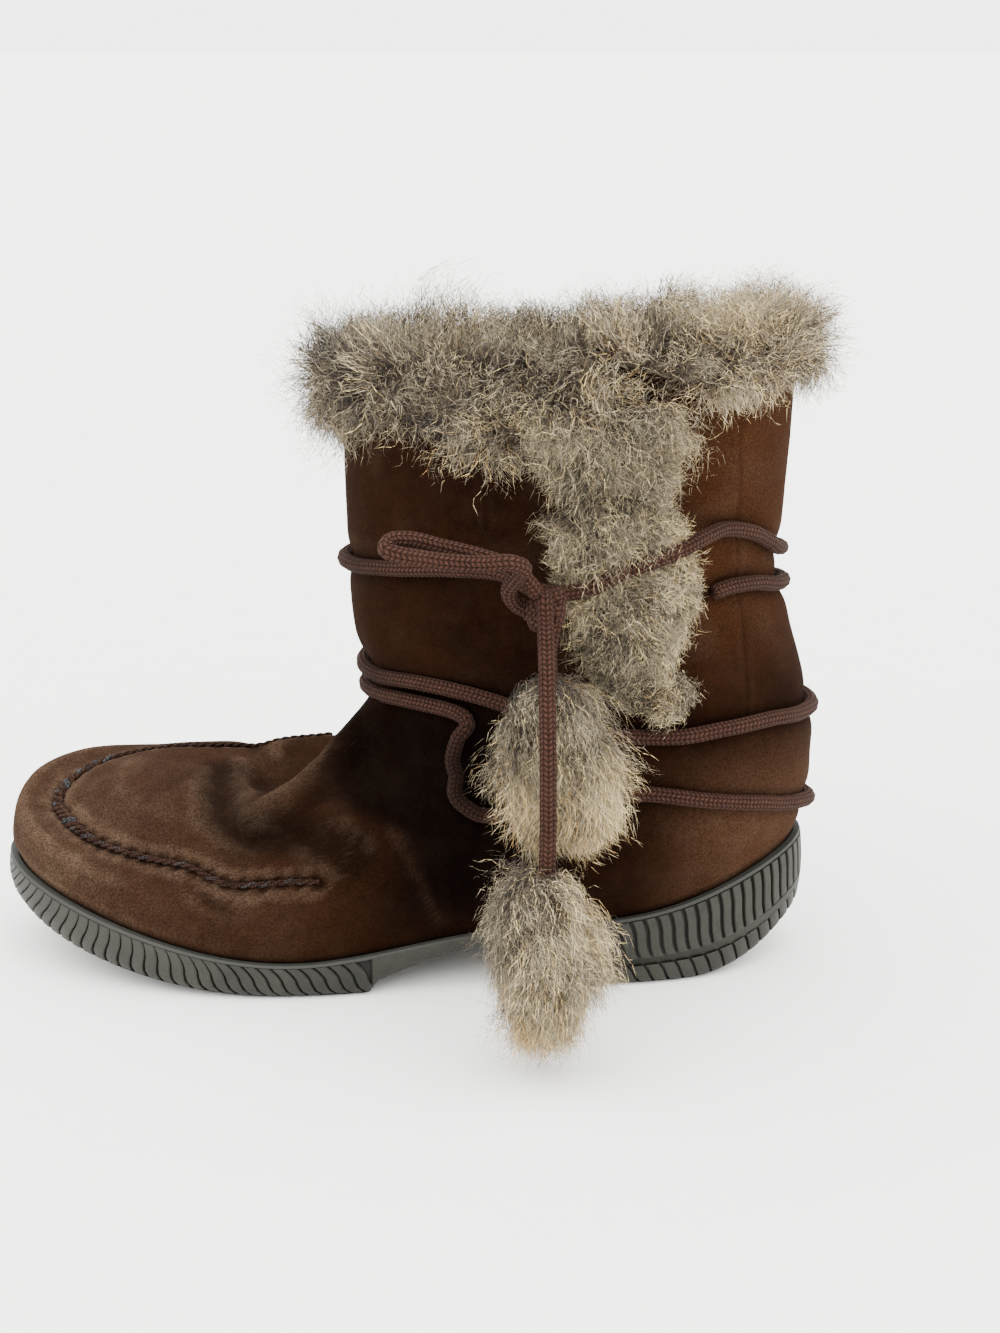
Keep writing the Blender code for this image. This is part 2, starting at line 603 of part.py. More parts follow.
def build_placket(collection):
    """The fur strip down the front flap's edge, a lens-shaped pad on the shaft's outer side."""
    slices = []
    sides, places, rest = around(LACE_RING, 400, True)
    line = np.column_stack([places, rest])[sides < 0]
    shaft = SECTIONS[-4]
    levels = np.linspace(PLACKET[0].z, PLACKET[-1].z, PLACKET_ROWS)
    table = np.array([row[1:] for row in PLACKET])[::-1]
    for z, (left, right, depth) in zip(levels, smooth([row.z for row in PLACKET[::-1]], table, levels)):
        ends = [(x - shaft.front_x) / (shaft.back_x - shaft.front_x) for x in (left, right)]
        steps = np.linspace(0, 1, PLACKET_ACROSS)
        places = np.interp(steps, (0, 1), ends)
        back = [at_height(-1, f, z, PLACKET_CLEAR) for f in places]
        front = [at_height(-1, f, z, placket_off(s, depth, f, z, line)) for s, f in zip(steps[1:-1], places[1:-1])]
        slices.append(back + front[::-1])
    return add_object("fur_placket", loft("fur_placket", slices, "flat"), FUR, collection)


def build_pompom(name, rings, collection):
    """A hanging tassel of fur, round in every level ring."""
    turn = np.linspace(0, 2 * math.pi, POMPOM_SIDES, endpoint=False)
    loops = [
        np.stack([r.x + r.across * np.cos(turn), r.y + r.deep * np.sin(turn), np.full(POMPOM_SIDES, r.z)], axis=1)
        for r in reversed(rings)
    ]
    return add_object(name, loft(name, loops, "flat"), FUR, collection)


# ---------------------------------------------------------------- the lace
def build_wrap(name, turns, closed, collection):
    """A run of the lace round the shaft."""
    line = lace_line(turns, 12 * len(turns), CORD_R + CORD_CLEAR - PRESS, closed)
    if not closed:
        return tube(name, spaced(line, LACE_STEPS[name]), CORD_R, False, CORD, collection)
    ring = spaced(np.concatenate([line, line[:1]]), LACE_STEPS[name] + 1)[:-1]
    return tube(name, ring, CORD_R, True, CORD, collection)


def build_free_cord(name, route, collection):
    """A free end of the lace along its route."""
    reach = float(np.linalg.norm(np.diff(np.asarray(route), axis=0), axis=1).sum())
    points = spaced(route, max(4, round(reach / CORD_STEP) + 1))
    return tube(name, points, CORD_R, False, CORD, collection)


def build_knot(collection):
    """The knot that gathers the lace, as a rounded lump."""
    mesh = bpy.data.meshes.new("knot")
    lump = bmesh.new()
    bmesh.ops.create_uvsphere(lump, u_segments=14, v_segments=9, radius=1.0)
    bmesh.ops.scale(lump, vec=[s * MM for s in KNOT_SIZE], verts=lump.verts)
    lump.to_mesh(mesh)
    lump.free()
    mesh.shade_smooth()
    knot = add_object("knot", mesh, CORD, collection)
    knot.location = [c * MM for c in KNOT]
    return knot


# ---------------------------------------------------------------- the boot
def clear_scene():
    """Removes every object of the scene."""
    for old in list(bpy.data.objects):
        bpy.data.objects.remove(old, do_unlink=True)


def main():
    """Builds every piece of the boot into its own collection."""
    clear_scene()
    boot = bpy.data.collections.new(OBJECT)
    bpy.context.scene.collection.children.link(boot)
    build_outsole(boot)
    build_insole(boot)
    build_upper(boot)
    build_cuff(boot)
    build_placket(boot)
    build_wrap("lace_ring", LACE_RING, True, boot)
    build_wrap("lace_spiral", LACE_SPIRAL, False, boot)
    build_knot(boot)
    build_free_cord("bow_loop", BOW_LOOP, boot)
    build_free_cord("short_cord", SHORT_CORD, boot)
    build_free_cord("long_cord", LONG_CORD, boot)
    build_pompom("pompom_upper", POMPOM_UPPER, boot)
    build_pompom("pompom_lower", POMPOM_LOWER, boot)


main()
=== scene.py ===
"""Fur-trimmed suede ankle boot for a left foot: its full look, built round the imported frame.

Tables are in millimetres on the frame's own axes: the toe points along -X, the outer side of the
foot faces -Y, +Z is up and the floor is z = 0.
"""

import itertools
import logging
import math
from collections import namedtuple
from dataclasses import dataclass, field
from enum import Enum, IntEnum

import bpy
import numpy as np
from bpy.types import Material, Node, NodeSocket, NodeTree, Object
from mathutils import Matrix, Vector
from numpy import ndarray as Array


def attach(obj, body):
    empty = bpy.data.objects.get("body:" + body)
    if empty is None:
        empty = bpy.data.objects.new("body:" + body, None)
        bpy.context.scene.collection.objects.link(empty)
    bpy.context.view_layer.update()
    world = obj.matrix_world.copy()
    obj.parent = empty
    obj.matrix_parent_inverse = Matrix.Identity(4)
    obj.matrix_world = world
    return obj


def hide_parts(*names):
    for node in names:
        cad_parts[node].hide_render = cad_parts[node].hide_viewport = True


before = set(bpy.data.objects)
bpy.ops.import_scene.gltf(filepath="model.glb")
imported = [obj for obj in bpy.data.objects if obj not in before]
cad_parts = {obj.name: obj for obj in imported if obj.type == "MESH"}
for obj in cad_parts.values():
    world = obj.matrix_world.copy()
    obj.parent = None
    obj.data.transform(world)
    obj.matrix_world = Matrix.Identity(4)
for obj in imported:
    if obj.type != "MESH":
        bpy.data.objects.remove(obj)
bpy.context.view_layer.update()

LOG = logging.getLogger("boot")
MM = 0.001
UP = np.array([0, 0, 1.0])
OFF_AXIS = (0.3, 0.1, 1.0)
HASH = (73856093, 19349663, 83492791, 2654435761)
HASH_MIX = 1274126177
NEAREST_BATCH = 4000
Sockets = bpy.types.bpy_prop_collection
Colour = tuple[float, float, float]
Span = tuple[float, float]


class Slot(Enum):
    """The material slots."""

    RUBBER = "rubber"
    FLEECE = "fleece"
    SUEDE = "suede"
    FUR = "fur"
    LACE = "lace"


class Side(IntEnum):
    """Sides of the foot, as the sign of Y."""

    OUTER = -1
    INNER = 1


OUTER, INNER = Side


# ---- shapes and numbers
def smooth(knots: Array, values: Array, at: Array, each: bool = False) -> Array:
    """A cubic curve through values at knots.

    Args:
        knots: increasing places.
        values: one row per knot.
        at: places to read it at.
        each: whether each place reads its own column.

    Returns:
        One row per place.
    """
    t = np.asarray(knots, float)
    p = np.asarray(values, float)
    q = np.clip(np.asarray(at, float), t[0], t[-1])
    step = np.diff(t)
    tail = [1] * (p.ndim - 1)
    slope = np.diff(p, axis=0) / step.reshape(-1, *tail)
    inner = [
        (slope[k] * step[k + 1] + slope[k + 1] * step[k]) / (step[k] + step[k + 1])
        for k in range(len(slope) - 1)
    ]
    lean = np.stack([slope[0], *inner, slope[-1]])
    k = np.clip(np.searchsorted(t, q, side="right") - 1, 0, len(t) - 2)
    tail = tail[1:] if each else tail
    width = step[k].reshape(-1, *tail)
    s = ((q - t[k]) / step[k]).reshape(-1, *tail)
    own = np.arange(len(k))
    here, ahead = ((k, own), (k + 1, own)) if each else (k, k + 1)
    start = (1 + 2 * s) * (1 - s) ** 2 * p[here] + s * (1 - s) ** 2 * width * lean[here]
    end = s**2 * (3 - 2 * s) * p[ahead] - s**2 * (1 - s) * width * lean[ahead]
    return start + end


def ease(low: float, high: float, x: Array) -> Array:
    """A soft step from 0 at low to 1 at high."""
    t = np.clip((np.asarray(x, float) - low) / (high - low), 0, 1)
    return t * t * (3 - 2 * t)


def bell(gap: Array, reach: float) -> Array:
    """A soft spot: 1 where the gap is 0, fading away past the reach."""
    return np.exp(-((gap / reach) ** 2))


def unit(v: Array) -> Array:
    """Vectors along the last axis, made one long."""
    return v / np.maximum(np.linalg.norm(v, axis=-1, keepdims=True), 1e-9)


def noise(points: Array, size: float, seed: int) -> Array:
    """Soft random values from 0 to 1 in space.

    Args:
        points: places.
        size: distance over which values change.
        seed: picks the pattern.

    Returns:
        One value per point.
    """
    q = np.asarray(points, float) / size
    base = np.floor(q).astype(np.int64)
    part = q - base
    part = part * part * (3 - 2 * part)
    total = np.zeros(q.shape[:-1])
    for corner in itertools.product((0, 1), repeat=3):
        c = base + corner
        mixed = (c[..., 0] * HASH[0]) ^ (c[..., 1] * HASH[1]) ^ (c[..., 2] * HASH[2]) ^ (seed * HASH[3])
        mixed = ((mixed ^ (mixed >> 13)) * HASH_MIX) & 0xFFFFFFFF
        value = ((mixed ^ (mixed >> 16)) & 0xFFFF) / 0xFFFF
        total += value * np.prod(np.where(corner, part, 1 - part), axis=-1)
    return total


def travel(line: Array) -> Array:
    """Distance along a line at each of its points."""
    return np.concatenate([[0], np.cumsum(np.linalg.norm(np.diff(line, axis=0), axis=1))])


def spaced(points: Array, step: float, through: bool = True) -> Array:
    """Evenly spaced points along a curve.

    Args:
        points: the given points.
        step: distance wanted.
        through: whether to lay a smooth curve through them first.

    Returns:
        The new points, both ends included.
    """
    line = np.asarray(points, float)
    if through:
        reach = travel(line)
        fine = 40 * len(line)
        line = smooth(reach, line, np.linspace(0, reach[-1], fine))
    along = travel(line)
    at = np.linspace(0, along[-1], max(3, round(along[-1] / step) + 1))
    return np.stack([np.interp(at, along, line[:, k]) for k in range(3)], axis=1)


def averaged(rows: Array, count: int) -> Array:
    """Rows of x, y and z smoothed by a moving average over an odd count of them."""
    wide = np.pad(rows, ((count // 2, count // 2), (0, 0)), "edge")
    return np.stack([np.convolve(wide[:, k], np.ones(count) / count, "valid") for k in range(3)], axis=1)


def nearest(line: Array, points: Array) -> tuple[Array, Array]:
    """Finds which of a line's points is nearest to each place.

    Args:
        line: the line's points.
        points: the places.

    Returns:
        Distance and number for each place.
    """
    middle = line.mean(axis=0)
    line, points = line - middle, points - middle
    size = (line**2).sum(axis=1)
    parts = np.array_split(points, max(len(points) // NEAREST_BATCH, 1))
    near = np.concatenate([np.argmin(size - 2 * part @ line.T, axis=1) for part in parts])
    return np.linalg.norm(points - line[near], axis=1), near


def grid_gap(line: Array, grid: Array) -> tuple[Array, Array]:
    """Distance from each of a grid's points to a line, and the number of its nearest point."""
    gap, near = nearest(line, grid.reshape(-1, 3))
    return gap.reshape(grid.shape[:2]), near.reshape(grid.shape[:2])


def sideways(run: Array) -> Array:
    """Level unit vectors square to the given directions."""
    return unit(np.stack([run[..., 1], -run[..., 0], np.zeros(run.shape[:-1])], axis=-1))


def outset(loop: Array, by: float) -> Array:
    """A closed loop moved outward in its level plane."""
    return loop + sideways(np.roll(loop, -1, axis=0) - np.roll(loop, 1, axis=0)) * by


def frames(line: Array, closed: bool = False) -> tuple[Array, Array]:
    """Directions across a line that turn as little as they can along it.

    Args:
        line: its points.
        closed: whether the last repeats the first.

    Returns:
        Two unit vectors for each point, square to the line and each other.
    """
    run = unit(np.gradient(line, axis=0))
    if closed:
        run[0] = run[-1] = unit(line[1] - line[-2])
    across = unit(np.cross(run[0], OFF_AXIS))
    first = []
    for heading in run:
        across = unit(across - heading * (across @ heading))
        first.append(across)
    return np.array(first), np.cross(run, first)


def circles(turn: Array, first: Array, second: Array) -> Array:
    """Unit directions about a line by point and angle, from first at 0 to second at a quarter turn."""
    turn = np.atleast_2d(turn)
    return np.cos(turn)[..., None] * first[:, None] + np.sin(turn)[..., None] * second[:, None]


def grid_normals(grid: Array, closed: bool = True) -> Array:
    """Unit normals of a grid of loops.

    Args:
        grid: loops of points, lowest first.
        closed: whether each loop's ends are joined.

    Returns:
        One normal for each point.
    """
    if closed:
        around = np.roll(grid, -1, axis=1) - np.roll(grid, 1, axis=1)
    else:
        around = np.gradient(grid, axis=1)
    return unit(np.cross(around, np.gradient(grid, axis=0)))


def grid_faces(rows: int, columns: int, closed: bool = False, first: int = 0) -> Array:
    """Quads of a grid of points.

    Args:
        rows: how many rows.
        columns: points in a row.
        closed: whether rows close on themselves.
        first: number of the first point.

    Returns:
        Four point numbers for each quad.
    """
    r, c = np.meshgrid(np.arange(rows - 1), np.arange(columns if closed else columns - 1), indexing="ij")
    a = r * columns + c
    b = r * columns + (c + 1) % columns
    return np.stack([a, b, b + columns, a + columns], axis=-1).reshape(-1, 4) + first


def end_caps(rows: int, columns: int, wide: int) -> Array:
    """Faces that close a tube's first and last rings, given its rings, their corners and their points."""
    ring = np.arange(columns)
    return np.array([ring[::-1], ring + (rows - 1) * wide])


# ---- objects
def floats(values: Array) -> Array:
    """Values as one row of single floats."""
    return np.asarray(values, float).astype(np.float32).ravel()


def mesh_object(
    name: str, points: Array, faces: list[Array], material: Material,
    fields: dict[str, Array] | None = None, uvs: dict[str, Array] | None = None,
    sharp: float | None = None,
) -> Object:
    """Makes a smooth mesh object.

    Args:
        name: the piece's name.
        points: vertices in millimetres.
        faces: arrays of vertex numbers.
        material: its finish.
        fields: a number for each vertex, by attribute.
        uvs: a pair for each vertex, by map.
        sharp: edges sharper than this many degrees stay sharp.

    Returns:
        The linked object.
    """
    points = np.asarray(points, float).reshape(-1, 3)
    mesh = bpy.data.meshes.new(name)
    corners = np.concatenate([part.reshape(-1) for part in faces]).astype(np.int32)
    sizes = np.concatenate([np.full(len(part), part.shape[1]) for part in faces])
    starts = np.concatenate([[0], np.cumsum(sizes)[:-1]]).astype(np.int32)
    mesh.vertices.add(len(points))
    mesh.vertices.foreach_set("co", floats(points * MM))
    mesh.loops.add(len(corners))
    mesh.loops.foreach_set("vertex_index", corners)
    mesh.polygons.add(len(starts))
    mesh.polygons.foreach_set("loop_start", starts)
    mesh.update(calc_edges=True)
    for key, values in (fields or {}).items():
        mesh.attributes.new(key, "FLOAT", "POINT").data.foreach_set("value", floats(values))
    for key, pairs in (uvs or {}).items():
        mesh.uv_layers.new(name=key).data.foreach_set("uv", floats(pairs.reshape(-1, 2)[corners]))
    mesh.shade_smooth()
    if sharp is not None:
        mesh.set_sharp_from_angle(angle=math.radians(sharp))
    mesh.materials.append(material)
    made = bpy.data.objects.new(name, mesh)
    bpy.context.scene.collection.objects.link(made)
    return made


def fit(piece: Object, slot: Slot, *nodes: str) -> Object:
    """Places a piece on the boot's one body.

    Args:
        piece: the piece.
        slot: its material slot; not used.
        *nodes: the CAD nodes it replaces.

    Returns:
        The same piece.
    """
    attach(piece, "root")
    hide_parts(*nodes)
    LOG.info("%s: %d faces", piece.name, len(piece.data.polygons))
    return piece


@dataclass
class Sheets:
    """Points and faces of several surfaces, gathered to become one mesh."""

    points: list[Array] = field(default_factory=list)
    faces: list[Array] = field(default_factory=list)
    fields: dict[str, list[Array]] = field(default_factory=dict)

    def add(self, points: Array, faces: Array, **fields: Array | float) -> None:
        """Adds a surface.

        Args:
            points: its points.
            faces: its faces, numbered from 0.
            **fields: a number for all its points, or for each.
        """
        flat = points.reshape(-1, 3)
        self.faces.append(faces + sum(len(part) for part in self.points))
        self.points.append(flat)
        for key, values in fields.items():
            self.fields.setdefault(key, []).append(np.broadcast_to(np.ravel(values), len(flat)))

    def joined(self) -> tuple[Array, list[Array], dict[str, Array]]:
        """All points, faces and fields."""
        fields = {key: np.concatenate(parts) for key, parts in self.fields.items()}
        return np.concatenate(self.points), self.faces, fields


# ---- node trees
COLOUR_KIND, NUMBER_KIND = "NodeSocketColor", "NodeSocketFloat"
MIX_SHARE, MIX_FIRST, MIX_SECOND, MIX_RESULT = 0, 6, 7, 2
WHOLE: Span = (0.0, 1.0)
MIDDLE: Span = (0.3, 0.7)


def padded(value: object) -> object:
    """A value as a node takes it: colours get an alpha of 1."""
    return (*value, 1) if isinstance(value, tuple) and len(value) == 3 else value


@dataclass
class Graph:
    """Adds nodes to one tree and joins them."""

    tree: NodeTree

    def join(self, socket: NodeSocket, target: NodeSocket) -> None:
        """Links a socket to another."""
        self.tree.links.new(socket, target)

    def node(self, kind: str, inputs: dict | None = None, **settings: object) -> Node:
        """Adds a node.

        Args:
            kind: its type.
            inputs: values or sockets by name or number.
            **settings: its own properties.

        Returns:
            The new node.
        """
        made = self.tree.nodes.new("ShaderNode" + kind)
        for key, value in settings.items():
            setattr(made, key, value)
        for key, value in (inputs or {}).items():
            if isinstance(value, NodeSocket):
                self.join(value, made.inputs[key])
            else:
                socket = made.inputs[key]
                socket.default_value = padded(value) if socket.type == "RGBA" else value
        return made

    def group(self, group: NodeTree, **inputs: object) -> Sockets:
        """Places a node group, given inputs by name, and hands over its outputs."""
        return self.node("Group", inputs, node_tree=group).outputs

    def mix(self, share: object, first: object, second: object, blend: str = "MIX") -> NodeSocket:
        """A mix of two colours, from all of the first at 0 to all of the second at 1."""
        ends = {MIX_SHARE: share, MIX_FIRST: first, MIX_SECOND: second}
        return self.node("Mix", ends, data_type="RGBA", blend_type=blend).outputs[MIX_RESULT]

    def maths(self, action: str, *values: object, clamp: bool = False) -> NodeSocket:
        """Arithmetic on up to three values."""
        return self.node("Math", dict(enumerate(values)), operation=action, use_clamp=clamp).outputs[0]

    def span(self, value: object, read: Span, give: Span = WHOLE, kind: str = "LINEAR") -> NodeSocket:
        """A value moved from the range it is read in to the one it is given, and held inside."""
        ends = dict(enumerate((value, *read, *give)))
        return self.node("MapRange", ends, clamp=True, interpolation_type=kind).outputs[0]

    def field(self, name: str) -> NodeSocket:
        """A mesh attribute's value."""
        return self.node("Attribute", attribute_name=name, attribute_type="GEOMETRY").outputs["Fac"]

    def place(self) -> NodeSocket:
        """The object's own coordinates, in metres."""
        return self.node("TexCoord").outputs["Object"]

    def cloud(self, place: object, scale: object, detail: float, rough: float) -> NodeSocket:
        """Noise from 0 to 1, with scale in lumps per metre."""
        inputs = {"Vector": place, "Scale": scale, "Detail": detail, "Roughness": rough}
        return self.node("TexNoise", inputs).outputs["Fac"]

    def finish_group(self, **results: NodeSocket) -> NodeTree:
        """Joins a group's results to its outputs.

        Args:
            **results: sockets by output name.

        Returns:
            The finished group.
        """
        out = self.tree.nodes.new("NodeGroupOutput")
        for key, socket in results.items():
            self.join(socket, out.inputs[key])
        return self.tree


def new_group(name: str, inputs: dict[str, object], *outputs: str) -> tuple[Graph, Sockets]:
    """Starts a shader node group.

    Args:
        name: its name.
        inputs: default values, a tuple for a colour.
        *outputs: names, where only Colour is a colour.

    Returns:
        A graph to fill it with, and its input sockets.
    """
    tree = bpy.data.node_groups.new(name, "ShaderNodeTree")
    for key, value in inputs.items():
        kind = COLOUR_KIND if isinstance(value, tuple) else NUMBER_KIND
        socket = tree.interface.new_socket(key, in_out="INPUT", socket_type=kind)
        socket.default_value = padded(value)
    for key in outputs:
        kind = COLOUR_KIND if key == "Colour" else NUMBER_KIND
        tree.interface.new_socket(key, in_out="OUTPUT", socket_type=kind)
    return Graph(tree), tree.nodes.new("NodeGroupInput").outputs


def grain_group() -> NodeTree:
    """Mottled nap: blotches, clouds and fine fibres of two colours, with a height for bumps.

    Returns:
        The node group.
    """
    colours = {"Dark": (0.02, 0.01, 0.006), "Light": (0.1, 0.05, 0.03)}
    scales = {"Blotch": 40.0, "Cloud": 220.0, "Fibre": 1900.0}
    g, have = new_group("grain", {**colours, **scales}, "Colour", "Height")
    place = g.place()
    blotch = g.cloud(place, have["Blotch"], detail=3.0, rough=0.6)
    cloud = g.cloud(place, have["Cloud"], detail=3.0, rough=0.6)
    fibre = g.cloud(place, have["Fibre"], detail=2.0, rough=0.7)
    cloudy = g.span(cloud, MIDDLE, give=(0.1, 0.55))
    share = g.maths("ADD", g.span(blotch, MIDDLE, give=(-0.25, 0.35)), cloudy)
    share = g.maths("ADD", share, g.span(fibre, MIDDLE, give=(-0.22, 0.3)), clamp=True)
    cloud_height, fibre_height = 0.5, 0.6
    height = g.maths("MULTIPLY", fibre, fibre_height)
    height = g.maths("ADD", g.maths("MULTIPLY", cloud, cloud_height), height)
    return g.finish_group(Colour=g.mix(share, have["Dark"], have["Light"]), Height=height)


def dust_group() -> NodeTree:
    """Pale dust in patches over a colour, with the share it covers.

    Returns:
        The node group.
    """
    inputs = {"Colour": (0.5, 0.5, 0.5), "Dust": (0.3, 0.25, 0.2), "Amount": 0.3, "Patch": 90.0}
    g, have = new_group("dust", inputs, "Colour", "Cover")
    place = g.place()
    speck_scale = 2600.0
    patch = g.span(g.cloud(place, have["Patch"], detail=4.0, rough=0.65), read=(0.42, 0.75))
    speck = g.span(g.cloud(place, speck_scale, detail=2.0, rough=0.6), read=(0.45, 0.7), give=(0.25, 1.0))
    cover = g.maths("MULTIPLY", g.maths("MULTIPLY", patch, speck), have["Amount"], clamp=True)
    return g.finish_group(Colour=g.mix(cover, have["Colour"], have["Dust"]), Cover=cover)


def braid_group() -> NodeTree:
    """Herringbone braid on a map whose U counts columns and V counts stitches, with painted shade: Dark in
    the grooves between stitches, by bump height.

    Returns:
        The node group.
    """
    inputs = {"Dark": (0.05, 0.02, 0.02), "Light": (0.2, 0.12, 0.1), "Lean": 0.9}
    g, have = new_group("braid", inputs, "Colour", "Height")
    yarn_scale = 2400.0
    hump_power, ridge_power = 0.6, 0.5
    above_zero = 100.0
    column, stitch, _ = g.node("SeparateXYZ", {0: g.node("UVMap", uv_map="braid").outputs[0]}).outputs
    across = g.maths("FRACT", column)
    odd = g.maths("GREATER_THAN", g.maths("MODULO", column, 2.0), 1.0)
    sign = g.maths("MULTIPLY_ADD", odd, -2.0, 1.0)
    lean = g.maths("MULTIPLY", g.maths("MULTIPLY", g.maths("SUBTRACT", across, 0.5), sign), have["Lean"])
    stitch = g.maths("FRACT", g.maths("ADD", g.maths("ADD", stitch, lean), above_zero))
    hump = g.maths("SINE", g.maths("MULTIPLY", stitch, math.pi))
    ridge = g.maths("SINE", g.maths("MULTIPLY", across, math.pi))
    height = g.maths("MULTIPLY", g.maths("POWER", hump, hump_power), g.maths("POWER", ridge, ridge_power))
    yarn = g.cloud(g.place(), yarn_scale, detail=2.0, rough=0.6)
    # Painted shade: the colour runs from Dark in the grooves to Light on the humps, following the bump
    # height.
    share = g.maths("MULTIPLY", height, g.span(yarn, MIDDLE, give=(0.35, 1.1)), clamp=True)
    return g.finish_group(Colour=g.mix(share, have["Dark"], have["Light"]), Height=height)


Stop = namedtuple("Stop", "tint colour")
PELT_STOPS = [
    Stop(0.0, (0.008, 0.005, 0.003)),
    Stop(0.2, (0.034, 0.025, 0.017)),
    Stop(0.42, (0.118, 0.097, 0.070)),
    Stop(0.62, (0.345, 0.285, 0.190)),
    Stop(0.8, (0.660, 0.510, 0.235)),
    Stop(1.0, (0.360, 0.190, 0.045)),
]
# Roots are darkened by this: partly the hair's own grey base, partly painted shade deep in the pile.
PELT_ROOT = (0.22, 0.17, 0.14)
PELT_TIP = (0.52, 0.43, 0.24)


def pelt_group() -> NodeTree:
    """Colour of a hair from its tint, 0 dark to 1 golden, and its place from root to tip, darker toward the
    root: partly the hair's own grey base, partly painted shade deep in the pile.

    Returns:
        The node group.
    """
    g, have = new_group("pelt", {"Tint": 0.5, "Tip": 0.5}, "Colour")
    ramp = g.node("ValToRGB", {0: have["Tint"]})
    elements = ramp.color_ramp.elements
    while len(elements) < len(PELT_STOPS):
        elements.new(0.5)
    for element, stop in zip(elements, PELT_STOPS):
        element.position = stop.tint
        element.color = (*stop.colour, 1)
    colour = ramp.outputs["Color"]
    root = g.mix(1.0, colour, PELT_ROOT, "MULTIPLY")
    shade = g.mix(g.span(have["Tip"], read=(0.08, 0.85)), root, colour)
    ends = g.mix(g.span(have["Tip"], read=(0.6, 1.0), give=(0.0, 0.25)), shade, PELT_TIP)
    return g.finish_group(Colour=ends)


@dataclass(frozen=True)
class Groups:
    """The node groups that materials share, each made once."""

    grain: NodeTree = field(default_factory=grain_group)
    dust: NodeTree = field(default_factory=dust_group)
    braid: NodeTree = field(default_factory=braid_group)
    pelt: NodeTree = field(default_factory=pelt_group)


# ---- finishes
@dataclass
class Canvas(Graph):
    """A material's graph, with its Principled shader's inputs and the shared groups."""

    shader: Sockets
    groups: Groups

    def paint(
        self, colour: NodeSocket, height: NodeSocket | None = None, distance: float = 0.0,
        strength: float = 1.0, **values: object,
    ) -> None:
        """Joins a finish to the shader.

        Args:
            colour: the base colour.
            height: bumps from 0 to 1.
            distance: their height, in metres.
            strength: how strongly they show.
            **values: the shader's uniform values.
        """
        self.join(colour, self.shader["Base Color"])
        if height is not None:
            bump = self.node("Bump", {"Height": height, "Distance": distance, "Strength": strength})
            self.join(bump.outputs[0], self.shader["Normal"])
        for key, value in values.items():
            self.shader[key.replace("_", " ").title().replace("Ior", "IOR")].default_value = value


@dataclass(frozen=True)
class Finish:
    """A finish, each kind with its own way of dressing a material."""

    name: str

    def material(self, groups: Groups) -> Material:
        """Makes the finish's material.

        Args:
            groups: the shared groups.

        Returns:
            The new material.
        """
        made = bpy.data.materials.new(self.name)
        made.use_nodes = True
        self.dress(Canvas(made.node_tree, made.node_tree.nodes["Principled BSDF"].inputs, groups))
        return made

    def dress(self, g: Canvas) -> None:
        """Dresses the material."""
        raise NotImplementedError


@dataclass(frozen=True)
class Suede(Finish):
    """Nappy brown suede, paler where it is worn, and darkened toward the deep colour by the crease field:
    painted shade in folds, under the fold and on the sheltered side, and dark seams.
    """

    dark: Colour = (0.0020, 0.0005, 0.0002)
    light: Colour = (0.0094, 0.0030, 0.0011)
    rust: Colour = (0.046, 0.0175, 0.0068)
    worn: Colour = (0.066, 0.0415, 0.0270)
    # deep is the colour of the painted shade, and of the dark seams.
    deep: Colour = (0.0008, 0.0002, 0.0001)
    dust: Colour = (0.13, 0.095, 0.068)
    sheen: Colour = (0.62, 0.42, 0.30)
    patch_scale: float = 130.0
    speck_scale: float = 1650.0
    speck: Span = (0.4, 0.6)
    least_dust: float = 0.03
    worn_dust: float = 0.45
    bump: float = 0.0012

    def dress(self, g: Canvas) -> None:
        """Mixes nap, rust, wear, and the crease field's painted shade and dark seams.

        Args:
            g: the material's graph.
        """
        nap = g.group(g.groups.grain, Dark=self.dark, Light=self.light)
        place = g.place()
        patch = g.cloud(place, self.patch_scale, detail=4.0, rough=0.65)
        speck = g.cloud(place, self.speck_scale, detail=3.0, rough=0.75)
        wear = g.maths("MULTIPLY", g.field("wear"), g.span(patch, read=(0.25, 0.75), give=(0.5, 1.1)))
        wear = g.maths("MULTIPLY", wear, g.span(speck, self.speck, give=(0.4, 1.4)), clamp=True)
        warm = g.maths("MULTIPLY", g.field("warm"), g.span(speck, self.speck, give=(0.5, 1.4)), clamp=True)
        colour = g.mix(warm, nap["Colour"], self.rust)
        colour = g.mix(wear, colour, self.worn)
        # Painted shade: the crease field darkens folds, the pocket and the sheltered side toward deep, with
        # the seams.
        colour = g.mix(g.field("crease"), colour, self.deep)
        amount = g.maths("ADD", g.maths("MULTIPLY", wear, self.worn_dust), self.least_dust)
        dusty = g.group(g.groups.dust, Colour=colour, Dust=self.dust, Amount=amount)
        g.paint(
            dusty["Colour"], nap["Height"], self.bump, strength=0.55, roughness=0.95, sheen_weight=0.01,
            sheen_roughness=0.5, sheen_tint=(*self.sheen, 1), specular_ior_level=0.02,
        )


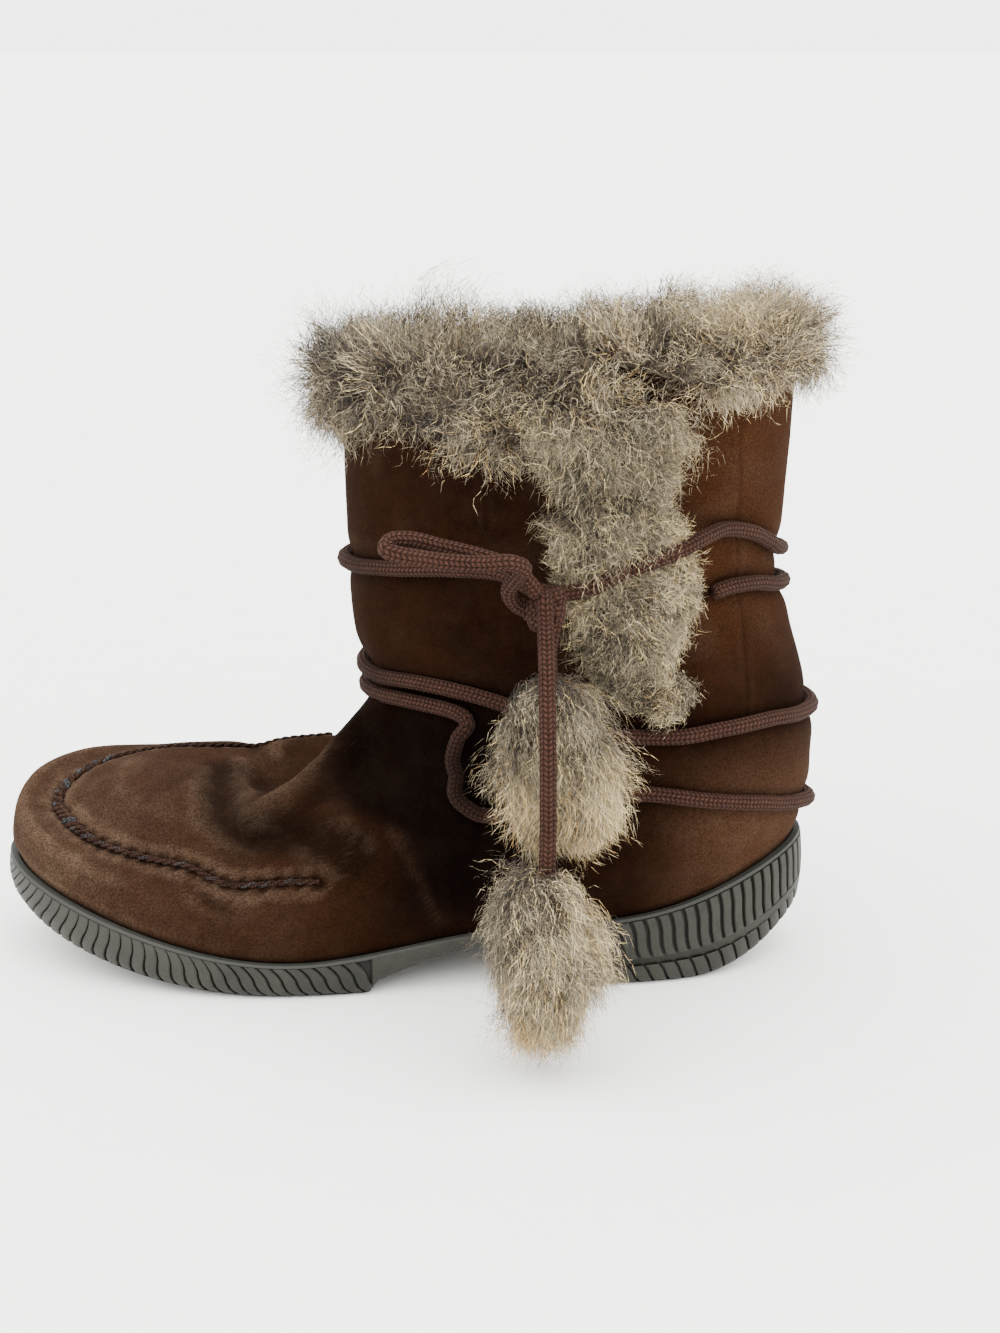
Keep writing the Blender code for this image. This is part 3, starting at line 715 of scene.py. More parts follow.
@dataclass(frozen=True)
class Rubber(Finish):
    """Matt grey rubber, with painted shade in its slots and channel."""

    dark: Colour = (0.0105, 0.0100, 0.0076)
    light: Colour = (0.0245, 0.0240, 0.0190)
    lip: Colour = (0.0215, 0.0220, 0.0195)
    # Painted shade for the recessed slots and the channel.
    slot_shade: Colour = (0.003, 0.003, 0.002)
    dust: Colour = (0.045, 0.038, 0.025)
    dust_amount: float = 0.35
    blotch: float = 25.0
    cloud: float = 160.0
    bump: float = 0.0003

    def dress(self, g: Canvas) -> None:
        """Mixes grain, lip, painted shade in the slots, and dust.

        Args:
            g: the material's graph.
        """
        scales = {"Blotch": self.blotch, "Cloud": self.cloud}
        grain = g.group(g.groups.grain, Dark=self.dark, Light=self.light, **scales)
        # The slot field paints shade into the slots and the channel.
        colour = g.mix(g.field("slot"), g.mix(g.field("lip"), grain["Colour"], self.lip), self.slot_shade)
        dusty = g.group(g.groups.dust, Colour=colour, Dust=self.dust, Amount=self.dust_amount)
        g.paint(dusty["Colour"], grain["Height"], self.bump, 0.5, roughness=0.6, specular_ior_level=0.22)


@dataclass(frozen=True)
class Fleece(Finish):
    """Short woolly pile."""

    dark: Colour = (0.20, 0.15, 0.10)
    light: Colour = (0.55, 0.47, 0.35)
    cloud: float = 320.0
    bump: float = 0.004

    def dress(self, g: Canvas) -> None:
        """Lays the pile.

        Args:
            g: the material's graph.
        """
        pile = g.group(g.groups.grain, Dark=self.dark, Light=self.light, Cloud=self.cloud)
        gloss = {"roughness": 1.0, "sheen_weight": 0.3, "specular_ior_level": 0.05}
        g.paint(pile["Colour"], pile["Height"], self.bump, 0.9, **gloss)


@dataclass(frozen=True)
class Hair(Finish):
    """Hairs, coloured by their own tint from root to tip."""

    def dress(self, g: Canvas) -> None:
        """Colours the hairs."""
        pelt = g.group(g.groups.pelt, Tint=g.field("tint"), Tip=g.field("tip"))
        g.paint(pelt["Colour"], roughness=0.62, sheen_weight=0.08, specular_ior_level=0.18)


@dataclass(frozen=True)
class WoolAndShade(Finish):
    """The wool close to the skin, which the hairs grow from: its dark colour is partly the fur's grey base
    and partly painted shade of the depths between the hairs.
    """

    lumps: float = 260.0
    # Dark tints: the fur's grey base with painted shade of the depths between the hairs.
    tints: Span = (0.12, 0.42)
    bump: float = 0.003

    def dress(self, g: Canvas) -> None:
        """Colours the wool in soft lumps of dark tints, with painted shade between the hairs.

        Args:
            g: the material's graph.
        """
        cloud = g.cloud(g.place(), self.lumps, detail=4.0, rough=0.7)
        pelt = g.group(g.groups.pelt, Tint=g.span(cloud, MIDDLE, give=self.tints), Tip=cloud)
        g.paint(pelt["Colour"], cloud, self.bump, roughness=1.0, specular_ior_level=0.05)


@dataclass(frozen=True)
class Braid(Finish):
    """Braided or twisted cord, in its own colours where its tone is 1 and in a second one at 0."""

    dark: Colour
    light: Colour
    second: Colour
    lean: float
    bump: float
    dust: Colour = (0.085, 0.042, 0.027)
    dust_share: float = 0.3

    def dress(self, g: Canvas) -> None:
        """Colours the braid by its tone and dusts it.

        Args:
            g: the material's graph.
        """
        braid = g.group(g.groups.braid, Dark=self.dark, Light=self.light, Lean=self.lean)
        second = g.mix(braid["Height"], self.dark, self.second)
        colour = g.mix(g.field("tone"), second, braid["Colour"])
        amount = g.maths("MULTIPLY", g.field("tone"), self.dust_share)
        dusty = g.group(g.groups.dust, Colour=colour, Dust=self.dust, Amount=amount)
        gloss = {"roughness": 0.82, "sheen_weight": 0.01, "specular_ior_level": 0.04}
        g.paint(dusty["Colour"], braid["Height"], self.bump, **gloss)


@dataclass(frozen=True)
class Paper(Finish):
    """The pale seamless floor."""

    dark: Colour = (0.90, 0.90, 0.885)
    light: Colour = (0.93, 0.93, 0.915)

    def dress(self, g: Canvas) -> None:
        """Lays the faint grain."""
        grain = g.group(g.groups.grain, Dark=self.dark, Light=self.light)
        g.paint(grain["Colour"], roughness=1.0, specular_ior_level=0.0)


# ---- the last
Section = namedtuple(
    "Section",
    "name front_x back_x front_y ball_y waist_y front_w ball_w waist_w heel_w back_w"
    " front_z ball_z waist_z heel_z back_z tilt_out tilt_in",
)
SECTIONS = [
    Section("seat", -212.5, 46.5, 8, -3.5, -6, 65, 42, 30.5, 29.5, 48, 25, 8, 16.3, 23, 26, 0, 0),
    Section("lip", -214.4, 49, 8, -3.5, -6, 68, 43.7, 32.5, 31.5, 50, 33.5, 11.8, 19.2, 27.3, 42, 0, 0),
    Section("wall", -216.3, 52, 8, -3.5, -5, 69, 45, 35, 34, 52, 39.5, 19, 27.5, 37, 50, 0.03, 0.1),
    Section("shoulder", -212.8, 53.4, 8, -3.5, -4, 66, 44, 37.5, 37, 54, 48.5, 31, 38, 46, 58, 0.12, 0.3),
    Section("seam", -200.5, 54, 7, -4, -4, 56, 40.5, 38.5, 38, 55, 48, 46.5, 48, 55, 65, 0.17, 0.3),
    Section("apron", -178, 53.8, 5, -4, -4, 46, 37.5, 38.5, 38, 56, 57, 55, 58, 64, 73, 0.17, 0.16),
    Section("vamp", -153, 53.2, 3, -4, -4, 35, 36.5, 38.5, 37.5, 55, 58.5, 62, 67, 72, 80, 0.12, 0.08),
    Section("instep", -127, 52.2, 1, -4, -4, 32, 36.5, 38.5, 36.5, 54, 57.5, 70, 76, 80, 87, 0.06, 0.06),
    Section("bend", -104.5, 50.8, 0, -4, -4, 35, 38, 39, 35.5, 52, 65, 79, 84.5, 89, 94, 0.03, 0),
    Section("throat", -94.8, 49, -1, -3.5, -3.5, 39, 39, 40, 34.5, 49, 81, 90, 94.5, 98, 102, 0, 0),
    Section("pinch", -93.2, 46.4, -1, -3, -3, 40, 39.5, 40.5, 33, 46, 97, 102.5, 105.5, 108.5, 111, 0, 0),
    Section("ankle", -97.4, 43.6, -1, -3, -3, 42, 41.5, 42, 32, 44, 112, 115.5, 117.5, 119.5, 121, 0, 0),
    Section("shaft", -98.8, 40.4, -1, -3, -3, 42, 42, 42.5, 31, 43, 127, 129, 130.5, 132, 133, 0, 0),
    Section("lace", -99.4, 41, -1, -3, -3, 42, 42.5, 43, 31.5, 43, 141, 142.5, 143.5, 144, 145, 0, 0),
    Section("top", -99.9, 43, -1, -3, -3, 43, 43.5, 44, 32, 44, 165, 167, 168.5, 170, 171.5, 0, 0),
    Section("rim", -99.6, 43.6, -1, -3, -3, 44, 44.5, 45, 32.5, 45, 199, 201.5, 204, 207, 209, 0, 0),
]
KNOTS = (0.0, 0.36, 0.6, 0.85, 1.0)


@dataclass
class Last:
    """The foot's form, which every other piece is laid on.

    A place f runs along a section from 0 at the front to 1 at the back.
    """

    heel_shift: float = 0.3
    beside: float = 0.004
    fine: int = 2000

    def height(self, row: Section, f: Array) -> Array:
        """Height of a section's middle line at places f."""
        return smooth(KNOTS, (row.front_z, row.ball_z, row.waist_z, row.heel_z, row.back_z), f)

    def side(self, row: Section, f: Array, side: int | Array) -> Array:
        """Points of one section.

        Args:
            row: the section.
            f: places from front to back.
            side: which side each is on.

        Returns:
            One point for each place.
        """
        f = np.asarray(f, float)
        middle = smooth(KNOTS, (row.front_y, row.ball_y, row.waist_y, row.waist_y * self.heel_shift, 0), f)
        inner = zip((row.ball_w, row.waist_w, row.heel_w), KNOTS[1:4])
        widths = [width / math.sqrt(knot * (1 - knot)) for width, knot in inner]
        widths = (2 * row.front_w, *widths, 2 * row.back_w)
        half = np.sqrt(np.maximum(f * (1 - f), 0)) * smooth(KNOTS, widths, f)
        y = middle + side * half
        z = self.height(row, f) + np.where(y < 0, row.tilt_out, row.tilt_in) * y
        return np.stack([row.front_x + f * (row.back_x - row.front_x), y, z], axis=-1)

    def loop(self, row: Section, f: Array) -> Array:
        """A section as a closed loop: front, outer side, back, inner side."""
        return np.concatenate([self.side(row, f, OUTER), self.side(row, f[-2:0:-1], INNER)])

    def stations(self, count: int, row: Section) -> Array:
        """Places evenly spaced along a section's outer side.

        Args:
            count: how many steps.
            row: the section.

        Returns:
            One place more than steps.
        """
        f = (1 - np.cos(np.linspace(0, math.pi, self.fine))) / 2
        along = travel(self.side(row, f, OUTER))
        return np.interp(np.linspace(0, along[-1], count + 1), along, f)

    def grid(self, f: Array, levels: Array) -> Array:
        """Loops of the form at levels counted in sections from the seat upward."""
        loops = np.stack([self.loop(row, f) for row in SECTIONS])
        return smooth(range(len(SECTIONS)), loops, levels)

    def at(self, side: Array, f: Array, z: Array, off: Array) -> Array:
        """Points beside the form.

        Args:
            side: which side each is on.
            f: places from front to back.
            z: heights.
            off: distances outward.

        Returns:
            One point for each.
        """
        side, f, z, off = np.broadcast_arrays(side, np.asarray(f, float), z, off)
        knots = range(len(SECTIONS))
        stack = np.stack([self.side(row, f, side) for row in SECTIONS])
        k = np.clip((stack[..., 2] <= z).sum(axis=0) - 1, 0, len(SECTIONS) - 2)
        own = np.arange(len(k))
        low, high = stack[k, own, 2], stack[k + 1, own, 2]
        level = np.clip(k + (z - low) / (high - low), 0, len(SECTIONS) - 1)
        found = []
        for step in (0.0, self.beside, -self.beside):
            place = np.clip(f + step, 0, 1)
            sides = np.stack([self.side(row, place, side) for row in SECTIONS])
            found.append(smooth(knots, sides, level, True))
        here, ahead, behind = found
        away = sideways((ahead - behind) * -side[:, None])
        ends = np.stack([np.where(f < 0.5, -1.0, 1.0), np.zeros(len(f)), np.zeros(len(f))], axis=1)
        at_end = (f < self.beside) | (f > 1 - self.beside)
        return here + np.where(at_end[:, None], ends, away) * off[:, None]


def angle(side: int, f: float) -> float:
    """How far round a section a place is, from the front by the outer side."""
    return -side * math.acos(1 - 2 * f)


def around(rows: list, count: int, closed: bool = False) -> tuple[Array, Array, Array]:
    """Even steps through a table whose rows start with side and f.

    Args:
        rows: the table.
        count: how many steps.
        closed: whether the last row joins the first.

    Returns:
        Side, f and the other columns at every step.
    """
    turn = np.unwrap([angle(row.side, row.f) for row in rows])
    rest = np.array([row[2:] for row in rows], float)
    over = 3 if closed else 0
    if closed:
        whole = 2 * math.pi * np.sign(turn[-1] - turn[0])
        turn = np.concatenate([turn[-over:] - whole, turn, turn[:over] + whole])
        rest = np.concatenate([rest[-over:], rest, rest[:over]])
    order = np.arange(len(turn)) - over
    at = np.linspace(0, len(rows) - (not closed), count, endpoint=not closed)
    now = smooth(order, turn, at)
    return np.where(np.sin(now) >= 0, OUTER, INNER), (1 - np.cos(now)) / 2, smooth(order, rest, at)


Spot = namedtuple("Spot", "centre reach share")


def spotted(points: Array, spot: Spot) -> Array:
    """A spot's share at each point, most at its centre."""
    return spot.share * bell(np.linalg.norm(points - np.array(spot.centre), axis=1), spot.reach)


# ---- the lace
Turn = namedtuple("Turn", "side f z off")
LACE_RING = [
    Turn(OUTER, 0.01, 136.3, 0),
    Turn(OUTER, 0.10, 138.5, 0),
    Turn(OUTER, 0.24, 141.0, 0),
    Turn(OUTER, 0.36, 141.5, 2),
    Turn(OUTER, 0.45, 138.0, 7),
    Turn(OUTER, 0.53, 139.0, 9),
    Turn(OUTER, 0.61, 144.0, 9),
    Turn(OUTER, 0.70, 149.5, 9),
    Turn(OUTER, 0.775, 153.0, 5),
    Turn(OUTER, 0.84, 153.5, 0.5),
    Turn(OUTER, 0.91, 150.0, 0),
    Turn(OUTER, 0.97, 143.0, 0),
    Turn(INNER, 0.99, 138.0, 0),
    Turn(INNER, 0.80, 136.0, 0),
    Turn(INNER, 0.50, 135.5, 0),
    Turn(INNER, 0.20, 135.0, 0),
]
LACE_SPIRAL = [
    Turn(OUTER, 0.82, 131.8, 0.2),
    Turn(OUTER, 0.87, 132.8, 0),
    Turn(OUTER, 0.93, 132.0, 0),
    Turn(OUTER, 0.975, 129.5, 0),
    Turn(INNER, 0.99, 126.5, 0),
    Turn(INNER, 0.80, 122.0, 0),
    Turn(INNER, 0.50, 113.5, 0),
    Turn(INNER, 0.20, 104.5, 0),
    Turn(OUTER, 0.01, 99.5, 0),
    Turn(OUTER, 0.14, 101.0, 0),
    Turn(OUTER, 0.28, 99.0, 0.5),
    Turn(OUTER, 0.42, 93.0, 0.5),
    Turn(OUTER, 0.56, 88.5, 0.5),
    Turn(OUTER, 0.70, 87.5, 0.5),
    Turn(OUTER, 0.80, 89.0, 0),
    Turn(OUTER, 0.90, 89.5, 0),
    Turn(OUTER, 0.97, 87.5, 0),
    Turn(INNER, 0.995, 85.5, 0),
    Turn(INNER, 0.80, 86.5, 0),
    Turn(INNER, 0.50, 90.0, 0),
    Turn(INNER, 0.20, 92.5, 0),
    Turn(OUTER, 0.01, 92.8, 0),
    Turn(OUTER, 0.10, 94.0, 0),
    Turn(OUTER, 0.20, 93.8, 0.8),
    Turn(OUTER, 0.248, 91.3, 3.2),
    Turn(OUTER, 0.238, 86.0, 4.6),
    Turn(OUTER, 0.250, 78.8, 5.0),
    Turn(OUTER, 0.315, 71.3, 4.5),
    Turn(OUTER, 0.40, 64.9, 3.0),
    Turn(OUTER, 0.48, 61.4, 1.2),
    Turn(OUTER, 0.59, 64.5, 0.3),
    Turn(OUTER, 0.70, 68.5, 0),
    Turn(OUTER, 0.82, 65.5, 0),
    Turn(OUTER, 0.91, 61.5, 0),
    Turn(OUTER, 0.97, 57.0, 0),
    Turn(INNER, 0.995, 52.0, 0),
    Turn(INNER, 0.85, 57.0, 0.5),
    Turn(INNER, 0.62, 68.0, 0.3),
    Turn(INNER, 0.45, 79.0, 0),
    Turn(INNER, 0.40, 85.0, -0.4),
    Turn(INNER, 0.37, 90.6, -2.0),
]
BOW_LOOP = [
    (-38.5, -73.5, 140.5), (-42.0, -74.5, 145.5), (-47.5, -76.5, 150.3), (-55.6, -79.0, 153.8),
    (-67.0, -80.5, 157.0), (-76.5, -81.5, 159.4), (-81.4, -83.0, 159.2), (-82.4, -85.4, 157.5),
    (-79.0, -86.6, 156.3), (-72.5, -86.9, 155.2), (-64.0, -86.9, 154.0), (-54.5, -86.3, 153.4),
    (-46.5, -85.0, 153.4), (-43.0, -81.6, 151.0), (-45.0, -77.0, 146.8), (-47.2, -73.5, 142.4),
    (-45.8, -70.5, 138.0), (-41.5, -68.5, 134.8),
]
SHORT_CORD = [
    (-32.2, -68.0, 140.4), (-33.1, -71.0, 135.7), (-34.3, -72.0, 130.5), (-35.4, -72.0, 123.8),
    (-35.2, -72.0, 116.0), (-34.5, -73.0, 100.0),
]
LONG_CORD = [
    (-37.0, -70.5, 140.6), (-36.8, -75.0, 138.6), (-36.6, -78.0, 133.5), (-36.4, -82.0, 127.0),
    (-36.2, -89.0, 115.0), (-36.0, -94.0, 100.0), (-35.9, -96.0, 84.0), (-36.0, -98.0, 69.0),
    (-37.0, -99.0, 52.0),
]
KNOT = [
    (-32.5, -64.5, 138.0), (-33.0, -69.0, 139.5), (-36.8, -71.6, 138.8), (-40.4, -70.0, 136.0),
    (-40.6, -66.6, 133.0), (-37.0, -64.4, 132.0), (-33.4, -66.2, 133.0), (-33.0, -70.0, 135.4),
    (-36.2, -73.0, 135.8), (-39.2, -71.6, 132.8), (-38.6, -68.2, 130.6), (-35.6, -66.6, 131.0),
]
# Spots where the lace turns to its darker second colour. The first is painted shade where the lace crosses
# the shadowed middle of the outer side; the other two darken it where it wraps the shaft's front.
LACE_DARK_SPOTS = [
    Spot((-60, -54, 76), 19, 0.97),
    Spot((-98, -20, 141), 14, 0.55),
    Spot((-96, -22, 104), 18, 0.55),
]


@dataclass
class Lace:
    """The braided lace: its turns round the shaft, the knot, the half bow and the two hanging ends."""

    last: Last
    finish: Material
    radius: float = 2.4
    clear: float = 1.3
    press: float = 2.5
    columns: int = 10
    stitch: float = 1.5
    relief: float = 0.08
    round_end: float = 0.6
    least: float = 0.02
    ring_line: Array = field(init=False)
    spiral_line: Array = field(init=False)

    def __post_init__(self) -> None:
        """Lays the two runs round the shaft."""
        self.ring_line = self.wrap(LACE_RING, True)
        self.spiral_line = self.wrap(LACE_SPIRAL, False)

    def wrap(self, turns: list[Turn], closed: bool) -> Array:
        """Lays a run round the shaft.

        Args:
            turns: its table.
            closed: whether its ends join.

        Returns:
            Its centre line.
        """
        sides, places, rest = around(turns, 12 * len(turns), closed)
        off = self.radius + self.clear - self.press
        line = self.last.at(sides, places, rest[:, 0], off + rest[:, 1])
        return np.concatenate([line, line[:1]]) if closed else line

    def sizes(self, along: Array, closed: bool) -> Array:
        """Half thickness along a cord, rounded off at open ends.

        Args:
            along: distances from its start.
            closed: whether its ends meet.

        Returns:
            One size for each.
        """
        if closed:
            return np.full(len(along), self.radius)
        ends = np.minimum(along, along[-1] - along) / (self.round_end * self.radius)
        return self.radius * np.sqrt(np.clip(1 - (1 - np.clip(ends, 0, 1)) ** 2, self.least, 1))

    def tube(self, name: str, line: Array, closed: bool = False) -> Object:
        """A braided cord along a line.

        Args:
            name: the piece's name.
            line: its evenly spaced centre line.
            closed: whether its end meets its start.

        Returns:
            The cord's object.
        """
        sides = 2 * self.columns
        first, second = frames(line, closed)
        slip = math.atan2(first[-1] @ second[0], first[-1] @ first[0]) if closed else 0.0
        along = travel(line)
        turn = np.arange(sides + 1) * 2 * math.pi / sides
        column = np.arange(sides + 1) / 2
        relief = 1 - self.relief / 2 + self.relief * np.abs(np.sin(column * math.pi))
        ring = circles(turn - (slip * along / along[-1])[:, None], first, second)
        points = line[:, None] + ring * (self.sizes(along, closed)[:, None] * relief)[..., None]
        rows, wide = points.shape[:2]
        faces = [grid_faces(rows, wide)]
        if not closed:
            faces.append(end_caps(rows, sides, wide))
        # The tone falls toward 0 in the dark spots: painted shade in the first.
        unspotted = np.ones(rows * wide)
        for spot in LACE_DARK_SPOTS:
            unspotted *= 1 - spotted(points.reshape(-1, 3), spot)
        uv = np.stack(np.broadcast_arrays(column, (along / self.stitch)[:, None]), axis=-1)
        return mesh_object(name, points, faces, self.finish, {"tone": unspotted}, {"braid": uv})

    def free(self, name: str, route: list, node: str) -> tuple[Object, Array]:
        """A free cord and its line, placed on the boot."""
        line = spaced(np.array(route), 0.65)
        return fit(self.tube(name, line), Slot.LACE, node), line

    def build_turns(self) -> None:
        """The two runs round the shaft."""
        ring = self.tube("lace_upper_turn", spaced(self.ring_line, 0.7), closed=True)
        fit(ring, Slot.LACE, "lace_ring")
        fit(self.tube("lace_lower_turns", spaced(self.spiral_line, 0.7)), Slot.LACE, "lace_spiral")

    def build_knot(self) -> Object:
        """The wrapped knot."""
        return fit(self.tube("lace_knot", spaced(np.array(KNOT), 0.6)), Slot.LACE, "knot")


# ---- the suede upper
# A crease lifts the suede along its points, each of which holds x, y, z and a share of the lift.
Crease = namedtuple("Crease", "name lift width push points")
SLOUCH = [
    (-85.4, -21.3, 103.0, 0.0), (-90.2, -13.2, 86.1, 0.25), (-94.5, -9.4, 77.2, 0.5),
    (-99.2, -6.5, 69.5, 0.75), (-106.5, -8.7, 62.7, 0.95), (-111.3, -14.7, 60.0, 1),
    (-115.8, -20.7, 58.6, 1), (-119.0, -24.3, 57.8, 1), (-122.3, -26.0, 56.7, 1),
    (-126.2, -27.1, 55.4, 0.95), (-130.0, -27.6, 54.6, 0.8),
]
POCKET = [
    (-142.6, 4.0, 58.0, 0.4), (-141.5, -11.4, 57.6, 0.8), (-138.8, -24.6, 54.7, 1),
    (-134.0, -30.0, 52.7, 1), (-130.0, -32.0, 51.4, 1), (-122.0, -33.6, 51.5, 1),
    (-115.0, -34.4, 52.0, 0.9), (-107.6, -36.9, 51.0, 0.7), (-98.0, -40.8, 48.1, 0.3),
]
CREASES = [
    Crease("slouch_ridge", 7.4, 6.6, 4.4, SLOUCH),
    Crease("pocket", -5.5, 5.0, 0, POCKET),
    Crease("hollow", -5, 8, 0, [(-98, 14, 74, 0.4), (-110, 9, 64, 1), (-120, 5, 60, 1), (-130, 0, 57, 0.8)]),
    Crease("far_dome", 2.5, 8.0, 0, [(-110, 28, 61, 0.8), (-126, 24, 58, 1)]),
    Crease("second_ridge", 2.8, 5.0, 0, [(-139, 12, 57.5, 0.4), (-137, -4, 57.5, 1), (-134, -15, 57, 0.6)]),
    Crease("rim_dip", -2.5, 6.0, 0, [(-134, 24, 58, 0.6), (-134, 40, 56, 1)]),
    Crease("toe_puff", 1.5, 16.0, 0, [(-172, 2, 60, 1), (-160, -8, 58, 1)]),
    Crease("apron_pucker", -1.3, 3.5, 0, [(-149, -38, 36, 0.6), (-141, -42, 30, 1), (-133, -44, 26, 0.3)]),
    Crease("side_slack", -1.6, 8.0, 0, [(-98, -42, 34, 0.5), (-84, -38, 46, 1), (-76, -37, 62, 0.4)]),
    Crease("ankle_slack", 1.8, 7.0, 0, [(-92, -22, 108, 0.8), (-70, -40, 104, 1), (-40, -44, 108, 0.3)]),
    Crease("heel_slack", 1.4, 7.0, 0, [(12, -38, 76, 0.5), (36, -24, 78, 1), (50, 0, 78, 0.8)]),
    Crease("shaft_slack", -1.2, 8.0, 0, [(-92, -20, 158, 0.4), (-70, -38, 154, 1), (-48, -45, 160, 0.4)]),
]
PUSH = (-0.55, -0.75, -0.3)
APRON_SEAM = [
    (-107.0, -44.0, 38.6), (-116.0, -44.0, 38.6), (-126.7, -43.0, 37.2), (-136.4, -42.0, 36.7),
    (-143.0, -40.0, 38.3), (-149.5, -37.0, 40.9), (-157.0, -35.0, 41.9), (-164.0, -33.0, 42.8),
    (-174.7, -28.0, 43.9), (-183.6, -22.0, 44.8), (-190.7, -14.0, 45.6), (-197.0, -5.0, 47.9),
    (-200.0, 4.0, 47.4), (-198.5, 13.0, 52.9), (-193.5, 20.0, 56.8), (-188.0, 24.0, 58.8),
    (-174.0, 27.0, 57.9), (-150.0, 28.0, 58.2), (-128.0, 29.0, 62.0), (-108.0, 31.0, 67.0),
]
QUARTER_SEAM = [
    (-84.0, -40.5, 56.0), (-81.7, -41.8, 50.9), (-78.0, -43.3, 44.0), (-74.1, -43.7, 35.7),
    (-69.2, -41.3, 23.1),
]
SHAFT_SEAM = [(-56.0, -45.0, 182.0), (-55.0, -45.0, 172.0), (-54.5, -45.0, 162.0), (-54.0, -44.5, 154.0)]
BACK_SEAM = [
    (23.0, -31.5, 190.0), (24.0, -30.0, 160.0), (26.0, -28.5, 128.0), (28.0, -34.0, 98.0),
    (29.0, -36.5, 84.0),
]


@dataclass(frozen=True)
class WearAndShade:
    """Where the suede is worn and rusty, where it is darker along seams and above the sole, and where shade
    is painted on it.

    A span gives where a mark starts and where it is full, along the axis in its name or by how much the
    surface bends. The numbers without a span are shares, and the wide ones are millimetres.
    """

    toe_x: Span = (-150, -210)
    toe_low_z: Span = (60, 15)
    toe: float = 0.42
    heel_x: Span = (-12, 35)
    heel_z: Span = (92, 55)
    heel: float = 0.29
    front_x: Span = (-85, -140)
    front: float = 0.16
    ridge_bend: Span = (0.06, 0.2)
    ridge_x: Span = (-60, -110)
    ridge_z: Span = (90, 70)
    ridge: float = 0.3
    shaft_patch: Span = (0.5, 0.8)
    shaft_z: Span = (96, 120)
    shaft: float = 0.1
    rust_x: Span = (-25, 25)
    rust_z: Span = (88, 140)
    rust: float = 0.45
    rust_all: float = 0.06
    rust_heel: float = 0.5
    rust_front: float = 0.1
    # Painted shade: fold darkens the suede where it bends hollow.
    fold_bend: Span = (0.1, 0.35)
    fold: float = 0.5
    # lip darkens the lowest rows, just above the sole.
    lip_rise: Span = (0.45, 0.1)
    lip: float = 0.85
    apron: float = 0.8
    apron_wide: float = 1.2
    # Painted shade: dim darkens the middle of the outer side, behind the hanging tufts and cords.
    dim_forward: float = 26.0
    dim_forward_z: Span = (52, 64)
    dim_front_x: Span = (-96, -70)
    dim_back_x: Span = (-8, -45)
    dim_top_z: Span = (112, 84)
    dim_foot_z: Span = (12, 36)
    dim_y: Span = (6, -16)
    dim: float = 0.88
    # Painted shade: pocket darkens the suede under the fold's overhang.
    pocket_gap: Span = (14, 4)
    pocket: float = 0.6
    seam: float = 0.24
    seam_wide: float = 0.8
    seam_edge: float = 0.03
    quarter_wide: float = 0.75
    quarter: float = 0.17
    quarter_clear: float = 0.8


